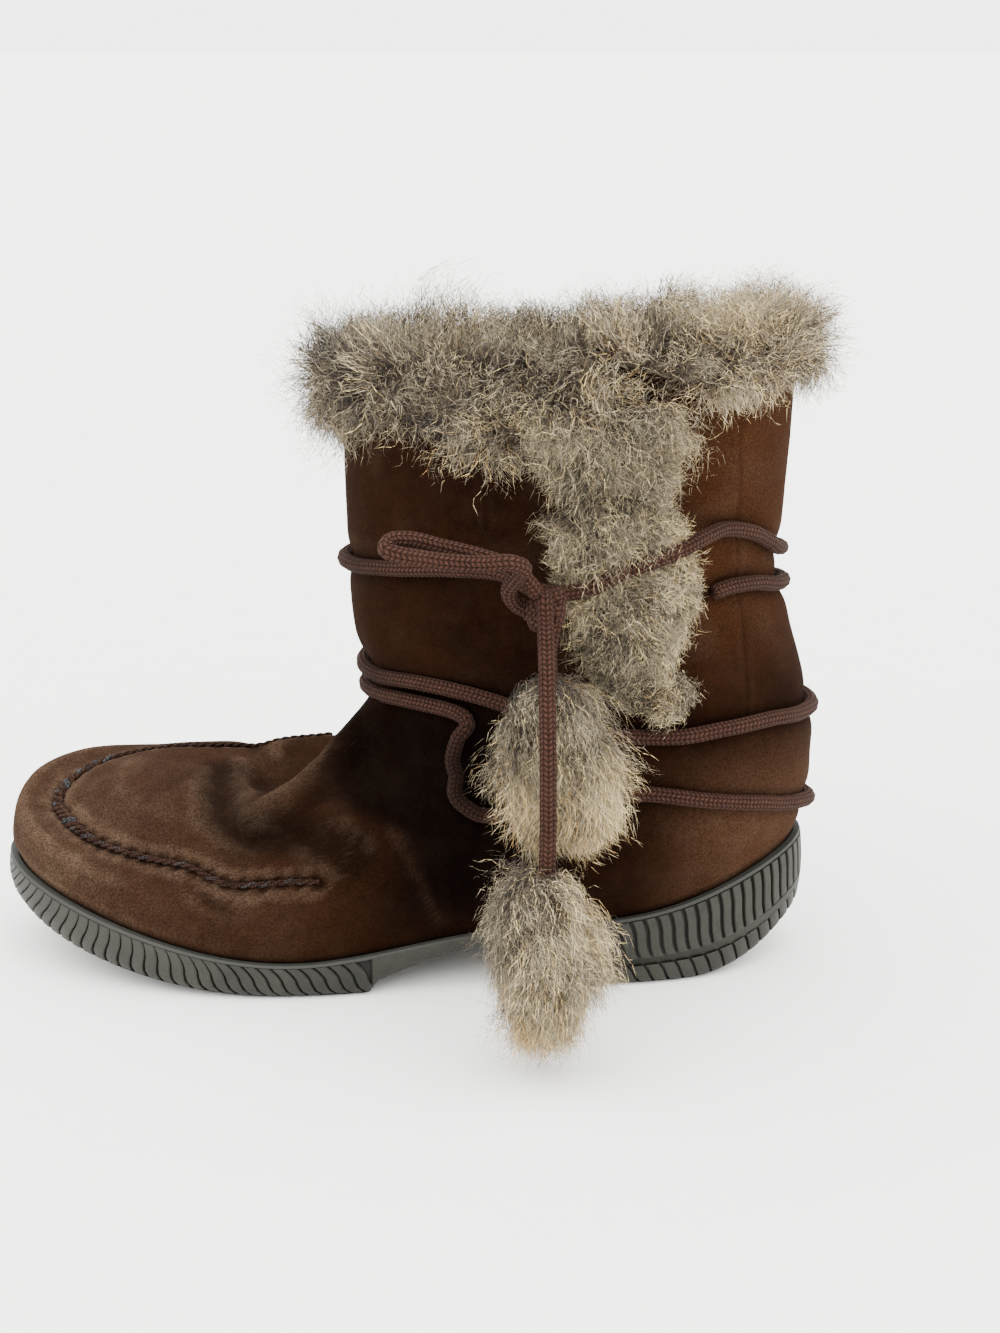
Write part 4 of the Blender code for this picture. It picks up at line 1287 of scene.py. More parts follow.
@dataclass
class Upper:
    """The suede shell, its creases and seams, and the fleece inside it."""

    last: Last
    suede: Material
    fleece: Material
    thread: Material
    wear: WearAndShade = WearAndShade()
    side_columns: int = 215
    rows: int = 150
    foot_level: float = 0.35
    wall: float = 3.0
    lining: float = 1.0
    pile: float = 1.2
    press: float = 1.5
    press_wide: float = 4.5
    swell: float = 0.12
    groove: float = 1.5
    groove_wide: float = 2.4
    ply_step: float = 0.45
    ply_turn: float = 6.2
    ply_stitch: float = 1.1
    ply_sides: int = 8
    ply_sink: float = 0.35
    toe_stitch_x: Span = (-178, -190)
    toe_stitch_y: Span = (-30, -10)
    grid: Array = field(init=False)

    def levels(self) -> Array:
        """Section levels about evenly spaced over the shell.

        Returns:
            One level for each row.
        """
        f = self.last.stations(40, SECTIONS[3])
        fine = np.linspace(self.foot_level, len(SECTIONS) - 1, 600)
        run = np.linalg.norm(np.diff(self.last.grid(f, fine), axis=0), axis=2)
        along = np.concatenate([[0], np.cumsum(np.percentile(run, 80, axis=1))])
        return np.interp(np.linspace(0, along[-1], self.rows), along, fine)

    def lift(self, grid: Array) -> tuple[Array, Array]:
        """How far folds, laces and slack move each place.

        Args:
            grid: the plain form.

        Returns:
            Distances outward, and distances forward over the fold.
        """
        lift = np.zeros(grid.shape[:2])
        push = np.zeros(grid.shape[:2])
        for crease in CREASES:
            table = np.array(crease.points, float)
            line = spaced(table[:, :3], 0.8)
            share = smooth(np.arange(len(table)), table[:, 3], np.linspace(0, len(table) - 1, len(line)))
            gap, near = grid_gap(line, grid)
            bump = share[near] * bell(gap, crease.width)
            lift += crease.lift * bump
            push += crease.push * bump
        for turns, closed in ((LACE_RING, True), (LACE_SPIRAL, False)):
            sides, places, rest = around(turns, 14 * len(turns), closed)
            gap, near = grid_gap(self.last.at(sides, places, rest[:, 0], 0.0), grid)
            hold = np.exp(-rest[near, 1] / 2)
            lift -= self.press * hold * bell(gap, self.press_wide)
            lift += self.swell * hold * bell(gap - 9, 4)
        lift += 0.6 * (noise(grid, 24, 3) - 0.5) + 0.2 * (noise(grid, 7, 4) - 0.5)
        return lift, push

    def shape(self) -> None:
        """Forms the shell's outer surface with its folds and the sunk seam."""
        levels = self.levels()
        grid = self.last.grid(self.last.stations(self.side_columns, SECTIONS[3]), levels)
        lift, push = self.lift(grid)
        self.away = grid_normals(grid)
        grid = grid + self.away * lift[..., None] + push[..., None] * np.array(PUSH)
        self.seam = self.settle(spaced(np.array(APRON_SEAM), 0.5), grid)
        self.gap, near = grid_gap(self.seam, grid)
        above = grid[..., 2] - self.seam[near, 2]
        pucker = 1 + 0.3 * np.sin(near * 2 * math.pi / 12)
        lift = -self.groove * pucker * bell(self.gap, self.groove_wide)
        lift += 0.4 * ease(0, 2, above) * bell(self.gap - 3.5, 4)
        seams = [
            grid_gap(self.settle(spaced(np.array(line), 0.8), grid), grid)[0]
            for line in (QUARTER_SEAM, SHAFT_SEAM, BACK_SEAM)
        ]
        self.quarter_gap = seams[0]
        self.seam_gap = np.min(seams, axis=0)
        lift -= 0.16 * bell(self.seam_gap, 1.0) - 0.08 * bell(self.seam_gap - 2.2, 1.2)
        self.grid = grid + grid_normals(grid) * lift[..., None]
        self.level = levels

    def settle(self, line: Array, grid: Array) -> Array:
        """Moves a line onto a surface.

        Args:
            line: the line's points.
            grid: the surface.

        Returns:
            The moved line, smoothed.
        """
        near = nearest(grid.reshape(-1, 3), line)[1]
        away = grid_normals(grid).reshape(-1, 3)[near]
        down = ((grid.reshape(-1, 3)[near] - line) * away).sum(axis=1, keepdims=True) * away
        return averaged(line + down, 9)

    def bend(self) -> Array:
        """How sharply the shell bends at each point, above 0 where it is hollow.

        Returns:
            One value for each point.
        """
        grid = self.grid
        beside = np.roll(grid, 1, 1) + np.roll(grid, -1, 1)
        below, above = np.concatenate([grid[:1], grid[:-1]]), np.concatenate([grid[1:], grid[-1:]])
        return ((beside - 2 * grid + below + above - 2 * grid) * grid_normals(grid)).sum(axis=2)

    def painted_shade_and_seams(self, bend: Array, quarter: Array) -> Array:
        """Painted shade in hollow folds, under the fold's pocket and on the sheltered middle of the outer
        side, with darker seams and a darker band above the sole.

        Args:
            bend: how sharply the shell bends.
            quarter: nearness of the quarter's seam.

        Returns:
            A share for each point.
        """
        wear, grid = self.wear, self.grid
        x, y, z = grid[..., 0], grid[..., 1], grid[..., 2]
        lip = smooth(range(2), [0.0, 1.0], np.clip(self.level - 0.9, 0, 1))
        forward = wear.dim_forward * ease(*wear.dim_forward_z, z)
        dim = ease(*wear.dim_front_x, x + forward) * ease(*wear.dim_back_x, x)
        dim = dim * ease(*wear.dim_top_z, z) * ease(*wear.dim_foot_z, z) * ease(*wear.dim_y, y)
        pocket, _ = grid_gap(np.array(CREASES[1].points)[:, :3], grid)
        shares = (
            wear.fold * ease(*wear.fold_bend, bend),
            wear.lip * ease(*wear.lip_rise, lip)[:, None] * np.ones_like(x),
            wear.apron * bell(self.gap, wear.apron_wide), wear.dim * dim,
            wear.pocket * ease(*wear.pocket_gap, pocket),
            wear.seam * bell(self.seam_gap, wear.seam_wide),
        )
        return np.max(shares, axis=0) * (1 - wear.quarter_clear * quarter)

    def fields(self) -> dict[str, Array]:
        """Wear, rust, and painted shade with dark seams over the shell.

        Returns:
            A share for each point, by attribute name.
        """
        wear, grid = self.wear, self.grid
        x, z = grid[..., 0], grid[..., 2]
        bend = self.bend()
        quarter = bell(self.quarter_gap, wear.quarter_wide)
        heel = ease(*wear.heel_x, x) * ease(*wear.heel_z, z)
        worn = wear.toe * ease(*wear.toe_x, x) * (0.6 + 0.4 * ease(*wear.toe_low_z, z))
        worn += wear.heel * heel + wear.front * ease(*wear.front_x, x)
        worn += wear.ridge * ease(*wear.ridge_bend, -bend) * ease(*wear.ridge_x, x) * ease(*wear.ridge_z, z)
        worn *= 0.85 + 0.3 * noise(grid, 18, 9)
        worn += wear.shaft * ease(*wear.shaft_patch, noise(grid, 13, 11)) * ease(*wear.shaft_z, z)
        worn += wear.seam_edge * bell(self.seam_gap - 2.0, 1.0) + wear.quarter * quarter
        warm = wear.rust_all + wear.rust * ease(*wear.rust_x, x) * ease(*wear.rust_z, z)
        warm += wear.rust_heel * heel + wear.rust_front * ease(*wear.ridge_x, x)
        warm *= 0.85 + 0.3 * noise(grid, 14, 10)
        # The crease field holds the painted shade and the dark seams.
        shares = {"wear": worn, "warm": warm, "crease": self.painted_shade_and_seams(bend, quarter)}
        return {name: np.clip(share, 0, 1) for name, share in shares.items()}

    def build(self) -> None:
        """Makes the shell, its lining and its stitched seam."""
        self.shape()
        faces = [grid_faces(*self.grid.shape[:2], True)]
        fit(mesh_object("suede_upper", self.grid, faces, self.suede, self.fields()), Slot.SUEDE, "upper")
        inside, away = self.grid[::3, ::3], self.away[::3, ::3]
        inside = inside - away * (self.wall + self.lining - self.pile * noise(inside, 4, 21))[..., None]
        inner = np.concatenate([inside, [inside[-1], self.grid[-1, ::3]]])
        faces = [grid_faces(*inner.shape[:2], True)[:, ::-1]]
        fit(mesh_object("fleece_lining", inner, faces, self.fleece), Slot.FLEECE, "upper")
        self.stitch()

    def stitch(self) -> None:
        """The thick thread twisted along the apron's edge, of two plies, with painted glints on the second.
        """
        line = spaced(self.seam, self.ply_step, through=False)
        near = nearest(self.grid.reshape(-1, 3), line)[1]
        away = unit(averaged(grid_normals(self.grid).reshape(-1, 3)[near], 15))
        across = np.cross(unit(np.gradient(line, axis=0)), away)
        along = np.arange(len(line)) * self.ply_step
        toe = ease(*self.toe_stitch_x, line[:, 0]) * ease(*self.toe_stitch_y, line[:, 1])
        wide = (0.5 + 0.8 * toe)[:, None]
        thick = (0.55 + 0.42 * toe)[:, None, None]
        angles = np.arange(self.ply_sides + 1)
        u, v = np.meshgrid(angles / self.ply_sides * 3, along / self.ply_stitch)
        sheets = Sheets()
        for ply, start in enumerate((0.0, math.pi)):
            turn = (2 * math.pi * along / self.ply_turn + start)[:, None]
            centre = line + across * np.cos(turn) * wide + away * (np.sin(turn) * 0.4 - self.ply_sink)
            ring = circles(angles * 2 * math.pi / self.ply_sides, *frames(centre))
            # Painted highlight: the second ply turns pale grey in patches as glints, most at the toe.
            glint = ease(0.42, 0.58, noise(centre, 3.0, 25)) * (0.45 + 0.55 * toe)
            tone = np.repeat(1.0 - ply * glint, len(angles))
            sheets.add(centre[:, None] + ring * thick, grid_faces(len(centre), len(angles)), tone=tone)
        points, faces, fields = sheets.joined()
        uv = np.tile(np.stack([u, v], axis=-1).reshape(-1, 2), (2, 1))
        piece = mesh_object("apron_stitching", points, faces, self.thread, fields, {"braid": uv})
        fit(piece, Slot.SUEDE, "upper")


# ---- the rubber sole
class End(Enum):
    """Ends of the sole."""

    TOE = "toe"
    HEEL = "heel"


# A band is a row of slots in the side wall. Low and high are shares of the wall's height, and the slots
# lean by lean_near at the named end and by lean_far where lean_reach is past.
Band = namedtuple("Band", "name end low high pitch slot from_x to_x lean_near lean_far lean_reach curl")
BANDS = [
    Band("forefoot", End.TOE, 0.02, 0.92, 4.6, 0.75, -230, -91.5, 19.2, -8.4, 112, 0.9),
    Band("heel_upper", End.HEEL, 0.40, 0.95, 4.3, 1.25, -25, 80, -0.48, -3.84, 90, 0.55),
    Band("heel_lower", End.HEEL, 0.02, 0.30, 5.2, 0.95, -25, 80, -2.64, -4.8, 90, 0.3),
]


def filled(loop: Array, back: int, rows: int) -> Array:
    """Rows of points across a loop, from its outer side to its inner side.

    Args:
        loop: the loop, from the front by the outer side.
        back: number of its point at the back.
        rows: how many rows.

    Returns:
        The grid of points.
    """
    outer, inner = loop[: back + 1], np.concatenate([loop[:1], loop[: back - 1 : -1]])
    share = np.linspace(0, 1, rows)[:, None, None]
    return outer[None] * (1 - share) + inner[None] * share


@dataclass
class Sole:
    """The rubber cup sole with its slotted side walls, and the foot bed inside it."""

    last: Last
    rubber: Material
    fleece: Material
    side_columns: int = 330
    lip_gap: float = 0.45
    lip: float = 2.3
    lip_v: Span = (0.90, 0.97)
    bulge: float = 0.8
    bulge_power: float = 1.6
    tread_round: float = 3.0
    foot_turn: float = 2.4
    top_sink: float = 0.35
    top_sink_v: Span = (0.93, 1)
    deep: float = 1.5
    core_depth: float = 1.4
    core_rows: int = 22
    edge_step: float = 0.012
    channel_v: Span = (0.29, 0.405)
    channel_x: Span = (48, 5)
    channel_from_x: float = -25.0
    channel_deep: float = 1.3
    # Share of painted shade in the channel at its deepest.
    channel_shade: float = 0.25
    block_v: tuple = (0, 0, 0.06, 0.25, 0.45, 0.65, 0.85, 0.95, 1, 1)
    block_u: tuple = (0, 0, 0.1, 0.5, 0.9, 1, 1)
    block_foot: float = 0.3
    block_edge: float = 0.28
    block_crown: float = 0.05
    block_wear: float = 0.12
    toe_rise_x: float = -118.0
    toe_rise_radius: float = 225.0
    heel_rise_x: float = 12.0
    heel_rise_radius: float = 38.0
    arch: tuple = ((-89.5, 4), (-75, 9), (-62, 12.5), (-45, 15), (-28, 16.5))
    pad_end: Span = (-92.5, -89.5)
    breast: Span = (-28, -24)
    tread_rows: int = 23
    groove: float = 2.2
    groove_pitch: float = 8.0
    forefoot_grooves: Span = (-205, -95)
    heel_grooves: Span = (-22, 40)
    bed_columns: int = 90
    bed_rows: int = 33
    bed_inset: float = 3.8
    bed_gap: float = 0.6
    bed_rings: tuple = ((0, 0), (0, 3), (0.5, 3.8), (1.5, 4.2))
    bed_pile: float = 0.9
    sharp: float = 35.0

    def floor(self, x: float) -> float:
        """Height of the underside.

        Args:
            x: place along the boot.

        Returns:
            The height there.
        """
        if x < self.toe_rise_x:
            return (self.toe_rise_x - x) ** 2 / (2 * self.toe_rise_radius)
        if x > self.heel_rise_x:
            return (x - self.heel_rise_x) ** 2 / (2 * self.heel_rise_radius)
        if x <= self.pad_end[0] or x >= self.breast[1]:
            return 0.0
        xs, zs = zip(*self.arch)
        if x < self.pad_end[1]:
            return float(np.interp(x, self.pad_end, (0, zs[0])))
        if x > self.breast[0]:
            return float(np.interp(x, self.breast, (zs[-1], 0)))
        return float(smooth(xs, zs, [x])[0])

    def floors(self, xs: Array) -> Array:
        """Heights of the underside at many places."""
        return np.array([self.floor(x) for x in xs])

    def shape(self) -> None:
        """Lays out the wall's guide loops and the loops inside it."""
        f = self.last.stations(self.side_columns, SECTIONS[1])
        lip = self.last.loop(SECTIONS[1], f)
        wide = self.lip_gap + self.lip
        floor = self.floors(lip[:, 0])
        tread, foot = outset(lip, wide - self.tread_round), outset(lip, wide)
        side, top = outset(lip, wide + self.bulge), outset(lip, wide)
        tread[:, 2] = floor
        foot[:, 2] = floor + self.tread_round * 0.8
        side[:, 2] = 0.5 * lip[:, 2] + 0.5 * floor
        self.guides = np.stack([tread, foot, side, top])
        self.inner = outset(lip, self.lip_gap)
        self.seat = outset(self.last.loop(SECTIONS[0], f), self.lip_gap)
        self.along = travel(np.concatenate([side, side[:1]]))
        self.half = self.along[self.side_columns]

    def wall(self, s: Array, v: Array, off: Array) -> Array:
        """Points on the side wall.

        Args:
            s: distance along it from the toe.
            v: 0 at the tread to 1 at the lip.
            off: distance outward.

        Returns:
            One point for each.
        """
        column = np.interp(np.mod(s, self.along[-1]), self.along, np.arange(len(self.along)))
        count = self.guides.shape[1]
        a = np.floor(column).astype(int) % count
        b = (a + 1) % count
        part = (column - np.floor(column))[..., None]
        tread, foot, side, top = (guide[a] * (1 - part) + guide[b] * part for guide in self.guides)
        away = sideways(self.guides[2][b] - self.guides[2][(a - 1) % count])
        height = top[..., 2] - tread[..., 2]
        turn = np.clip(self.foot_turn / np.maximum(height, 5), 0.05, 0.4)
        low = np.clip(v / turn, 0, 1)[..., None]
        rise = np.clip((v - turn) / (0.5 - turn), 0, 1)[..., None]
        upper = np.clip((v - 0.5) / 0.5, 0, 1)[..., None]
        base = tread + (foot - tread) * np.sin(low * math.pi / 2)
        base = base + (side - foot) * np.sin(rise * math.pi / 2)
        base = base + (top - side) * upper**self.bulge_power
        base[..., 2] = tread[..., 2] + height * v
        return base + away * np.asarray(off)[..., None]

    def shift(self, band: Band, s: Array, v: Array) -> Array:
        """How far a slot's line leans along the wall.

        Args:
            band: its band.
            s: distance along the wall.
            v: place up the wall.

        Returns:
            A distance for each.
        """
        near = np.minimum(s, self.along[-1] - s)
        from_end = near if band.end is End.TOE else self.half - near
        share = np.clip(from_end / band.lean_reach, 0, 1)
        t = (v - band.low) / (band.high - band.low)
        lean = band.lean_near + (band.lean_far - band.lean_near) * share
        curl = band.curl * np.sin(2 * math.pi * t)
        return np.where(s < self.half, 1, -1) * (lean * (t - 0.5) - curl * (0.4 + 0.6 * share))

    def wall_x(self, s: Array) -> Array:
        """X of the wall at distances along it."""
        xs = self.guides[2][:, 0]
        return np.interp(np.mod(s, self.along[-1]), self.along, np.append(xs, xs[0]))

    def active(self, band: Band, s: Array) -> Array:
        """Where along the wall a band runs."""
        x = self.wall_x(s)
        return (x > band.from_x) & (x < band.to_x)

    def blocks(self, band: Band, sheets: Sheets) -> None:
        """Adds the rubber blocks between a band's slots.

        Args:
            band: the band.
            sheets: the sole's surfaces.
        """
        count = round(self.along[-1] / band.pitch)
        pitch = self.along[-1] / count
        wide = pitch - band.slot
        u, v = np.array(self.block_u), np.array(self.block_v)
        sink_v = np.zeros(len(v))
        sink_v[:2] = self.deep, self.block_foot
        edge = [self.deep, self.block_edge, 0]
        off = -np.maximum(sink_v[:, None], [*edge, -self.block_crown, *edge[::-1]])
        for k in range(count):
            start = k * pitch + band.slot / 2
            middle = start + wide / 2
            if not self.active(band, np.array([middle - pitch / 2, middle + pitch / 2])).all():
                continue
            along, height = np.meshgrid(start + wide * u, band.low + (band.high - band.low) * v)
            along = along + self.shift(band, np.full_like(height, middle), height)
            sheets.add(self.wall(along, height, off), grid_faces(*off.shape), slot=0.0, lip=self.block_wear)

    def core(self, sheets: Sheets) -> None:
        """Adds the wall behind the blocks, with its lip and inner side.

        Args:
            sheets: the sole's surfaces.
        """
        edges = sorted({edge for band in BANDS for edge in (band.low, band.high)})
        steps = {round(edge + step, 4) for edge in edges for step in (0, self.edge_step)}
        v = np.array(sorted(set(np.round(np.linspace(0, 1, self.core_rows), 4)) | steps))
        grid_s, grid_v = np.meshgrid(self.along[:-1], v)
        off = np.zeros_like(grid_v)
        # The slot field is painted shade: full in the slots behind the blocks, and in the channel by its
        # depth.
        slot = np.zeros_like(grid_v)
        step = self.edge_step / 2
        for band in BANDS:
            inside = (grid_v > band.low + step) & (grid_v < band.high + step) & self.active(band, grid_s)
            off = np.where(inside, -self.core_depth, off)
            slot = np.where(inside, 1.0, slot)
        x = self.wall_x(grid_s)
        low, high = self.channel_v
        channel = (grid_v > low) & (grid_v <= high) & (x > self.channel_from_x)
        depth = ease(*self.channel_x, x)
        off = np.where(channel, -self.channel_deep * depth, off)
        slot = np.where(channel, self.channel_shade * depth, slot)
        lip = ease(*self.lip_v, grid_v) * (1 - slot)
        wall = self.wall(grid_s, grid_v, off - self.top_sink * ease(*self.top_sink_v, grid_v))
        wall[..., 2] = np.maximum(wall[..., 2], self.floors(wall[0, :, 0])[None])
        loops = np.concatenate([wall, [self.inner], [self.seat]])
        none = np.zeros((1, len(self.along) - 1))
        slot = np.concatenate([slot, none, none])
        lips = np.concatenate([lip, none + 1, none])
        sheets.add(loops, grid_faces(*loops.shape[:2], True), slot=slot, lip=lips)

    def underside(self, sheets: Sheets) -> None:
        """Adds the tread, with grooves across the forefoot and the heel.

        Args:
            sheets: the sole's surfaces.
        """
        grid = filled(self.guides[0], self.side_columns, self.tread_rows)
        x, y = grid[..., 0], grid[..., 1]
        bar = np.mod(x + 2.5 * np.sin(y / 7), self.groove_pitch) / self.groove_pitch
        across = np.linspace(0, 1, self.tread_rows)[:, None]
        inward = np.minimum(across, 1 - across)
        (toe, ball), (arch, heel) = self.forefoot_grooves, self.heel_grooves
        grooved = ((x > toe) & (x < ball)) | ((x > arch) & (x < heel))
        cut = ease(0.62, 0.70, bar) * ease(1.0, 0.92, bar) * ease(0.03, 0.06, inward) * grooved
        grid[..., 2] = self.floors(grid[0, :, 0])[None] + self.groove * cut
        sheets.add(grid, grid_faces(*grid.shape[:2])[:, ::-1], slot=0.0, lip=0.0)

    def foot_bed(self) -> None:
        """The fleece-topped insole."""
        row = SECTIONS[0]
        f = self.last.stations(self.bed_columns, row)
        edge = outset(self.last.loop(row, f), -self.bed_inset)
        place = np.clip((edge[:, 0] - row.front_x) / (row.back_x - row.front_x), 0, 1)
        edge[:, 2] = self.last.height(row, place) + self.bed_gap
        rings = np.stack([outset(edge, -inward) + UP * up for inward, up in self.bed_rings])
        bed = filled(rings[-1], self.bed_columns, self.bed_rows)
        across = np.linspace(0, 1, self.bed_rows)[:, None]
        bed[..., 2] += self.bed_pile * noise(bed, 4.5, 31) * np.sin(np.pi * across) ** 0.5
        sheets = Sheets()
        sheets.add(rings, grid_faces(*rings.shape[:2], True))
        sheets.add(bed, grid_faces(*bed.shape[:2]))
        points, faces, _ = sheets.joined()
        fit(mesh_object("foot_bed", points, faces, self.fleece), Slot.FLEECE, "insole")

    def build(self) -> None:
        """Makes the sole's core, blocks and tread as one piece, and the foot bed."""
        self.shape()
        sheets = Sheets()
        self.core(sheets)
        for band in BANDS:
            self.blocks(band, sheets)
        self.underside(sheets)
        points, faces, fields = sheets.joined()
        piece = mesh_object("rubber_sole", points, faces, self.rubber, fields, sharp=self.sharp)
        fit(piece, Slot.RUBBER, "outsole")
        self.foot_bed()


# ---- fur
Growth = namedtuple(
    "Growth",
    "layer seed count length width lift droop curl waves clump gather scatter points swirl swirl_size",
)
CUFF_FUR = [
    Growth("under", 61, 24000, 10.5, 0.36, 0.60, 0.4, 1.2, 1.0, 6, 0.35, 0.5, 5, 1.30, 7.0),
    Growth("over", 62, 20000, 14.5, 0.24, 0.65, 0.4, 1.9, 1.4, 6, 0.35, 0.6, 8, 1.45, 6.5),
]
PLACKET_FUR = [
    Growth("under", 71, 11000, 9.0, 0.36, 0.5, 0.3, 1.2, 1.0, 6, 0.35, 0.5, 5, 1.30, 7.0),
    Growth("over", 72, 10000, 12.5, 0.24, 0.6, 0.3, 1.9, 1.4, 6, 0.35, 0.6, 8, 1.45, 6.5),
]
POMPOM_FUR = [
    Growth("under", 5, 9000, 11.5, 0.36, 0.7, 0.7, 1.2, 1.0, 7, 0.35, 0.4, 6, 0.95, 7.0),
    Growth("over", 4, 9500, 16.0, 0.24, 0.7, 1.1, 1.8, 1.5, 7, 0.35, 0.5, 8, 0.95, 7.0),
]
Roots = namedtuple("Roots", "point normal along row column")
Look = namedtuple("Look", "comb scale tint lift")


@dataclass
class Pile:
    """Fur strands over a body's surface, as ribbons joined into one mesh."""

    growth: Growth
    seed: int
    ceiling: float = 219.0
    give: float = 11.0
    ground: float = 0.6
    lump_seed: int = 7
    lumps: Span = (0.72, 1.28)
    lengths: Span = (0.65, 1.25)
    widths: Span = (0.7, 1.3)
    curls: Span = (0.5, 1.4)
    waves: Span = (0.8, 1.2)
    comb_pull: float = 0.25
    flat_curl: float = 0.7
    taper: float = 0.55
    margin: float = 0.02

    def __post_init__(self) -> None:
        """Starts the patch's own random draws."""
        self.rng = np.random.default_rng(self.seed)

    def roots(self, grid: Array, closed: bool) -> Roots:
        """Random places on a grid.

        Args:
            grid: rows and columns of surface points.
            closed: whether the columns join up.

        Returns:
            Points, normals, directions along the rows, and row and column as shares.
        """
        ahead = np.roll(grid, -1, axis=1) if closed else grid[:, 1:]
        here = grid if closed else grid[:, :-1]
        a, b, c, d = here[:-1], ahead[:-1], ahead[1:], here[1:]
        cross = np.cross(b + c - a - d, c + d - a - b) / 4
        area = np.linalg.norm(cross, axis=2)
        chance = area.reshape(-1) / area.sum()
        pick = self.rng.choice(len(chance), self.growth.count, p=chance)
        u, v = self.rng.random((2, self.growth.count, 1))
        a, b, c, d = (part.reshape(-1, 3)[pick] for part in (a, b, c, d))
        point = (a * (1 - u) + b * u) * (1 - v) + (d * (1 - u) + c * u) * v
        rows, wide = area.shape
        row = (pick // wide + v[:, 0]) / rows
        column = (pick % wide + u[:, 0]) / wide
        return Roots(point, unit(cross.reshape(-1, 3)[pick]), unit((d + c - a - b) / 2), row, column)

    def drift(self, point: Array, size: float, first: int) -> Array:
        """Soft random directions over the patch."""
        return np.stack([noise(point, size, self.seed + first + k) - 0.5 for k in range(3)], axis=1) * 2

    def flow(self, roots: Roots, look: Look, head: Array) -> tuple[Array, Array]:
        """Lays each strand by its comb, lift, droop and swirl.

        Args:
            roots: where strands grow.
            look: how each is dressed.
            head: the strand that leads each lock.

        Returns:
            Points by strand, and first directions.
        """
        g, rng, count = self.growth, self.rng, len(head)
        steps = g.points - 1
        heading = roots.normal * (g.lift * np.asarray(look.lift).reshape(-1, 1)) + look.comb
        swirl = self.drift(roots.point, g.swirl_size, 0)
        turn = self.drift(roots.point, g.swirl_size * 0.8, 3)
        heading = unit(heading + g.swirl * swirl + g.scatter * rng.normal(size=(count, 3)))
        heading = unit(heading * (1 - 0.5 * g.gather) + heading[head] * 0.5 * g.gather)
        short, tall = self.lumps
        lump = ease(*MIDDLE, noise(roots.point, g.swirl_size, self.seed + self.lump_seed))
        size = g.length * look.scale * (short + (tall - short) * lump) * rng.uniform(*self.lengths, count)
        here, path, way = roots.point, [roots.point], heading
        for _ in range(steps):
            way = unit(way + (look.comb * self.comb_pull - UP * g.droop + turn * g.swirl) / steps)
            here = here + way * (size / steps)[:, None]
            path.append(here)
        return np.stack(path, axis=1), heading

    def curled(self, path: Array, normal: Array, heading: Array, head: Array) -> Array:
        """Gathers strands into locks and waves them.

        Args:
            path: points by strand.
            normal: outward directions.
            heading: first directions.
            head: the strand that leads each lock.

        Returns:
            The moved points.
        """
        g, rng, count = self.growth, self.rng, len(head)
        t = np.linspace(0, 1, g.points)
        path = path + (path[head] - path) * (g.gather * t**1.1)[None, :, None]
        side = unit(np.cross(heading, normal + 0.3 * rng.normal(size=(count, 3))))
        up = unit(np.cross(side, heading))
        phase = rng.uniform(0, 2 * math.pi, count)[head] + rng.normal(size=count) * 0.5
        opening = np.sin(np.clip(t * 1.7, 0, 1) * math.pi / 2)
        radius = (g.curl * rng.uniform(*self.curls, count)[head])[:, None] * opening
        phase = (phase + rng.normal(size=count) * 0.8)[:, None]
        swing = phase + 2 * math.pi * g.waves * t[None] * rng.uniform(*self.waves, count)[head][:, None]
        sway = (radius * (np.cos(swing) - np.cos(phase)))[..., None] * side[:, None]
        rise = (radius * self.flat_curl * (np.sin(swing) - np.sin(phase)))[..., None] * up[:, None]
        return path + (sway + rise)

    def ribbons(self, path: Array, normal: Array) -> Array:
        """Widens strands into flat tapered ribbons.

        Args:
            path: points by strand.
            normal: outward directions.

        Returns:
            Points by ribbon, two for each step and one for the tip.
        """
        rng, count = self.rng, len(path)
        t = np.linspace(0, 1, self.growth.points)
        face = unit(normal + 0.45 * rng.normal(size=(count, 3)))[:, None]
        flat = unit(np.cross(unit(np.gradient(path, axis=1)), face))
        wide = (self.growth.width / 2 * rng.uniform(*self.widths, count))[:, None]
        wide = wide * (1 - self.taper * t[None] ** 1.5)
        left, right = path - flat * wide[..., None], path + flat * wide[..., None]
        body = np.stack([left[:, :-1], right[:, :-1]], axis=2).reshape(count, -1, 3)
        return np.concatenate([body, path[:, -1:]], axis=1)

    def strands(self, roots: Roots, look: Look) -> tuple[Array, list[Array], dict, dict]:
        """Grows one strand from every root.

        Args:
            roots: where strands grow.
            look: how each is dressed.

        Returns:
            Points, faces, fields and maps.
        """
        g, count = self.growth, len(roots.point)
        heads = self.rng.choice(count, count // g.clump, replace=False)
        head = heads[nearest(roots.point[heads], roots.point)[1]]
        path, heading = self.flow(roots, look, head)
        path = self.curled(path, roots.normal, heading, head)
        path[..., 2] = np.maximum(path[..., 2], self.ground)
        over = np.maximum(path[..., 2] - self.ceiling, 0)
        path[..., 2] -= over - self.give * (1 - np.exp(-over / self.give))
        points = self.ribbons(path, roots.normal)
        each = points.shape[1]
        first = (np.arange(count) * each)[:, None, None]
        spikes = [[2 * k, 2 * k + 1, min(2 * k + 2 + k % 2, each - 1)] for k in range(g.points - 1)]
        faces = [(first + np.array(spikes)[None]).reshape(-1, 3)]
        tips = np.append(np.repeat(np.linspace(0, 1, g.points)[:-1], 2), 1.0)
        tip = np.broadcast_to(tips, (count, each)).reshape(-1)
        tint = np.repeat(np.clip(look.tint, 0, 1), each)
        bake = self.margin + (1 - 2 * self.margin) * np.stack([tint, tip], axis=1)
        return points, faces, {"tip": tip, "tint": tint}, {"OFBake": bake}


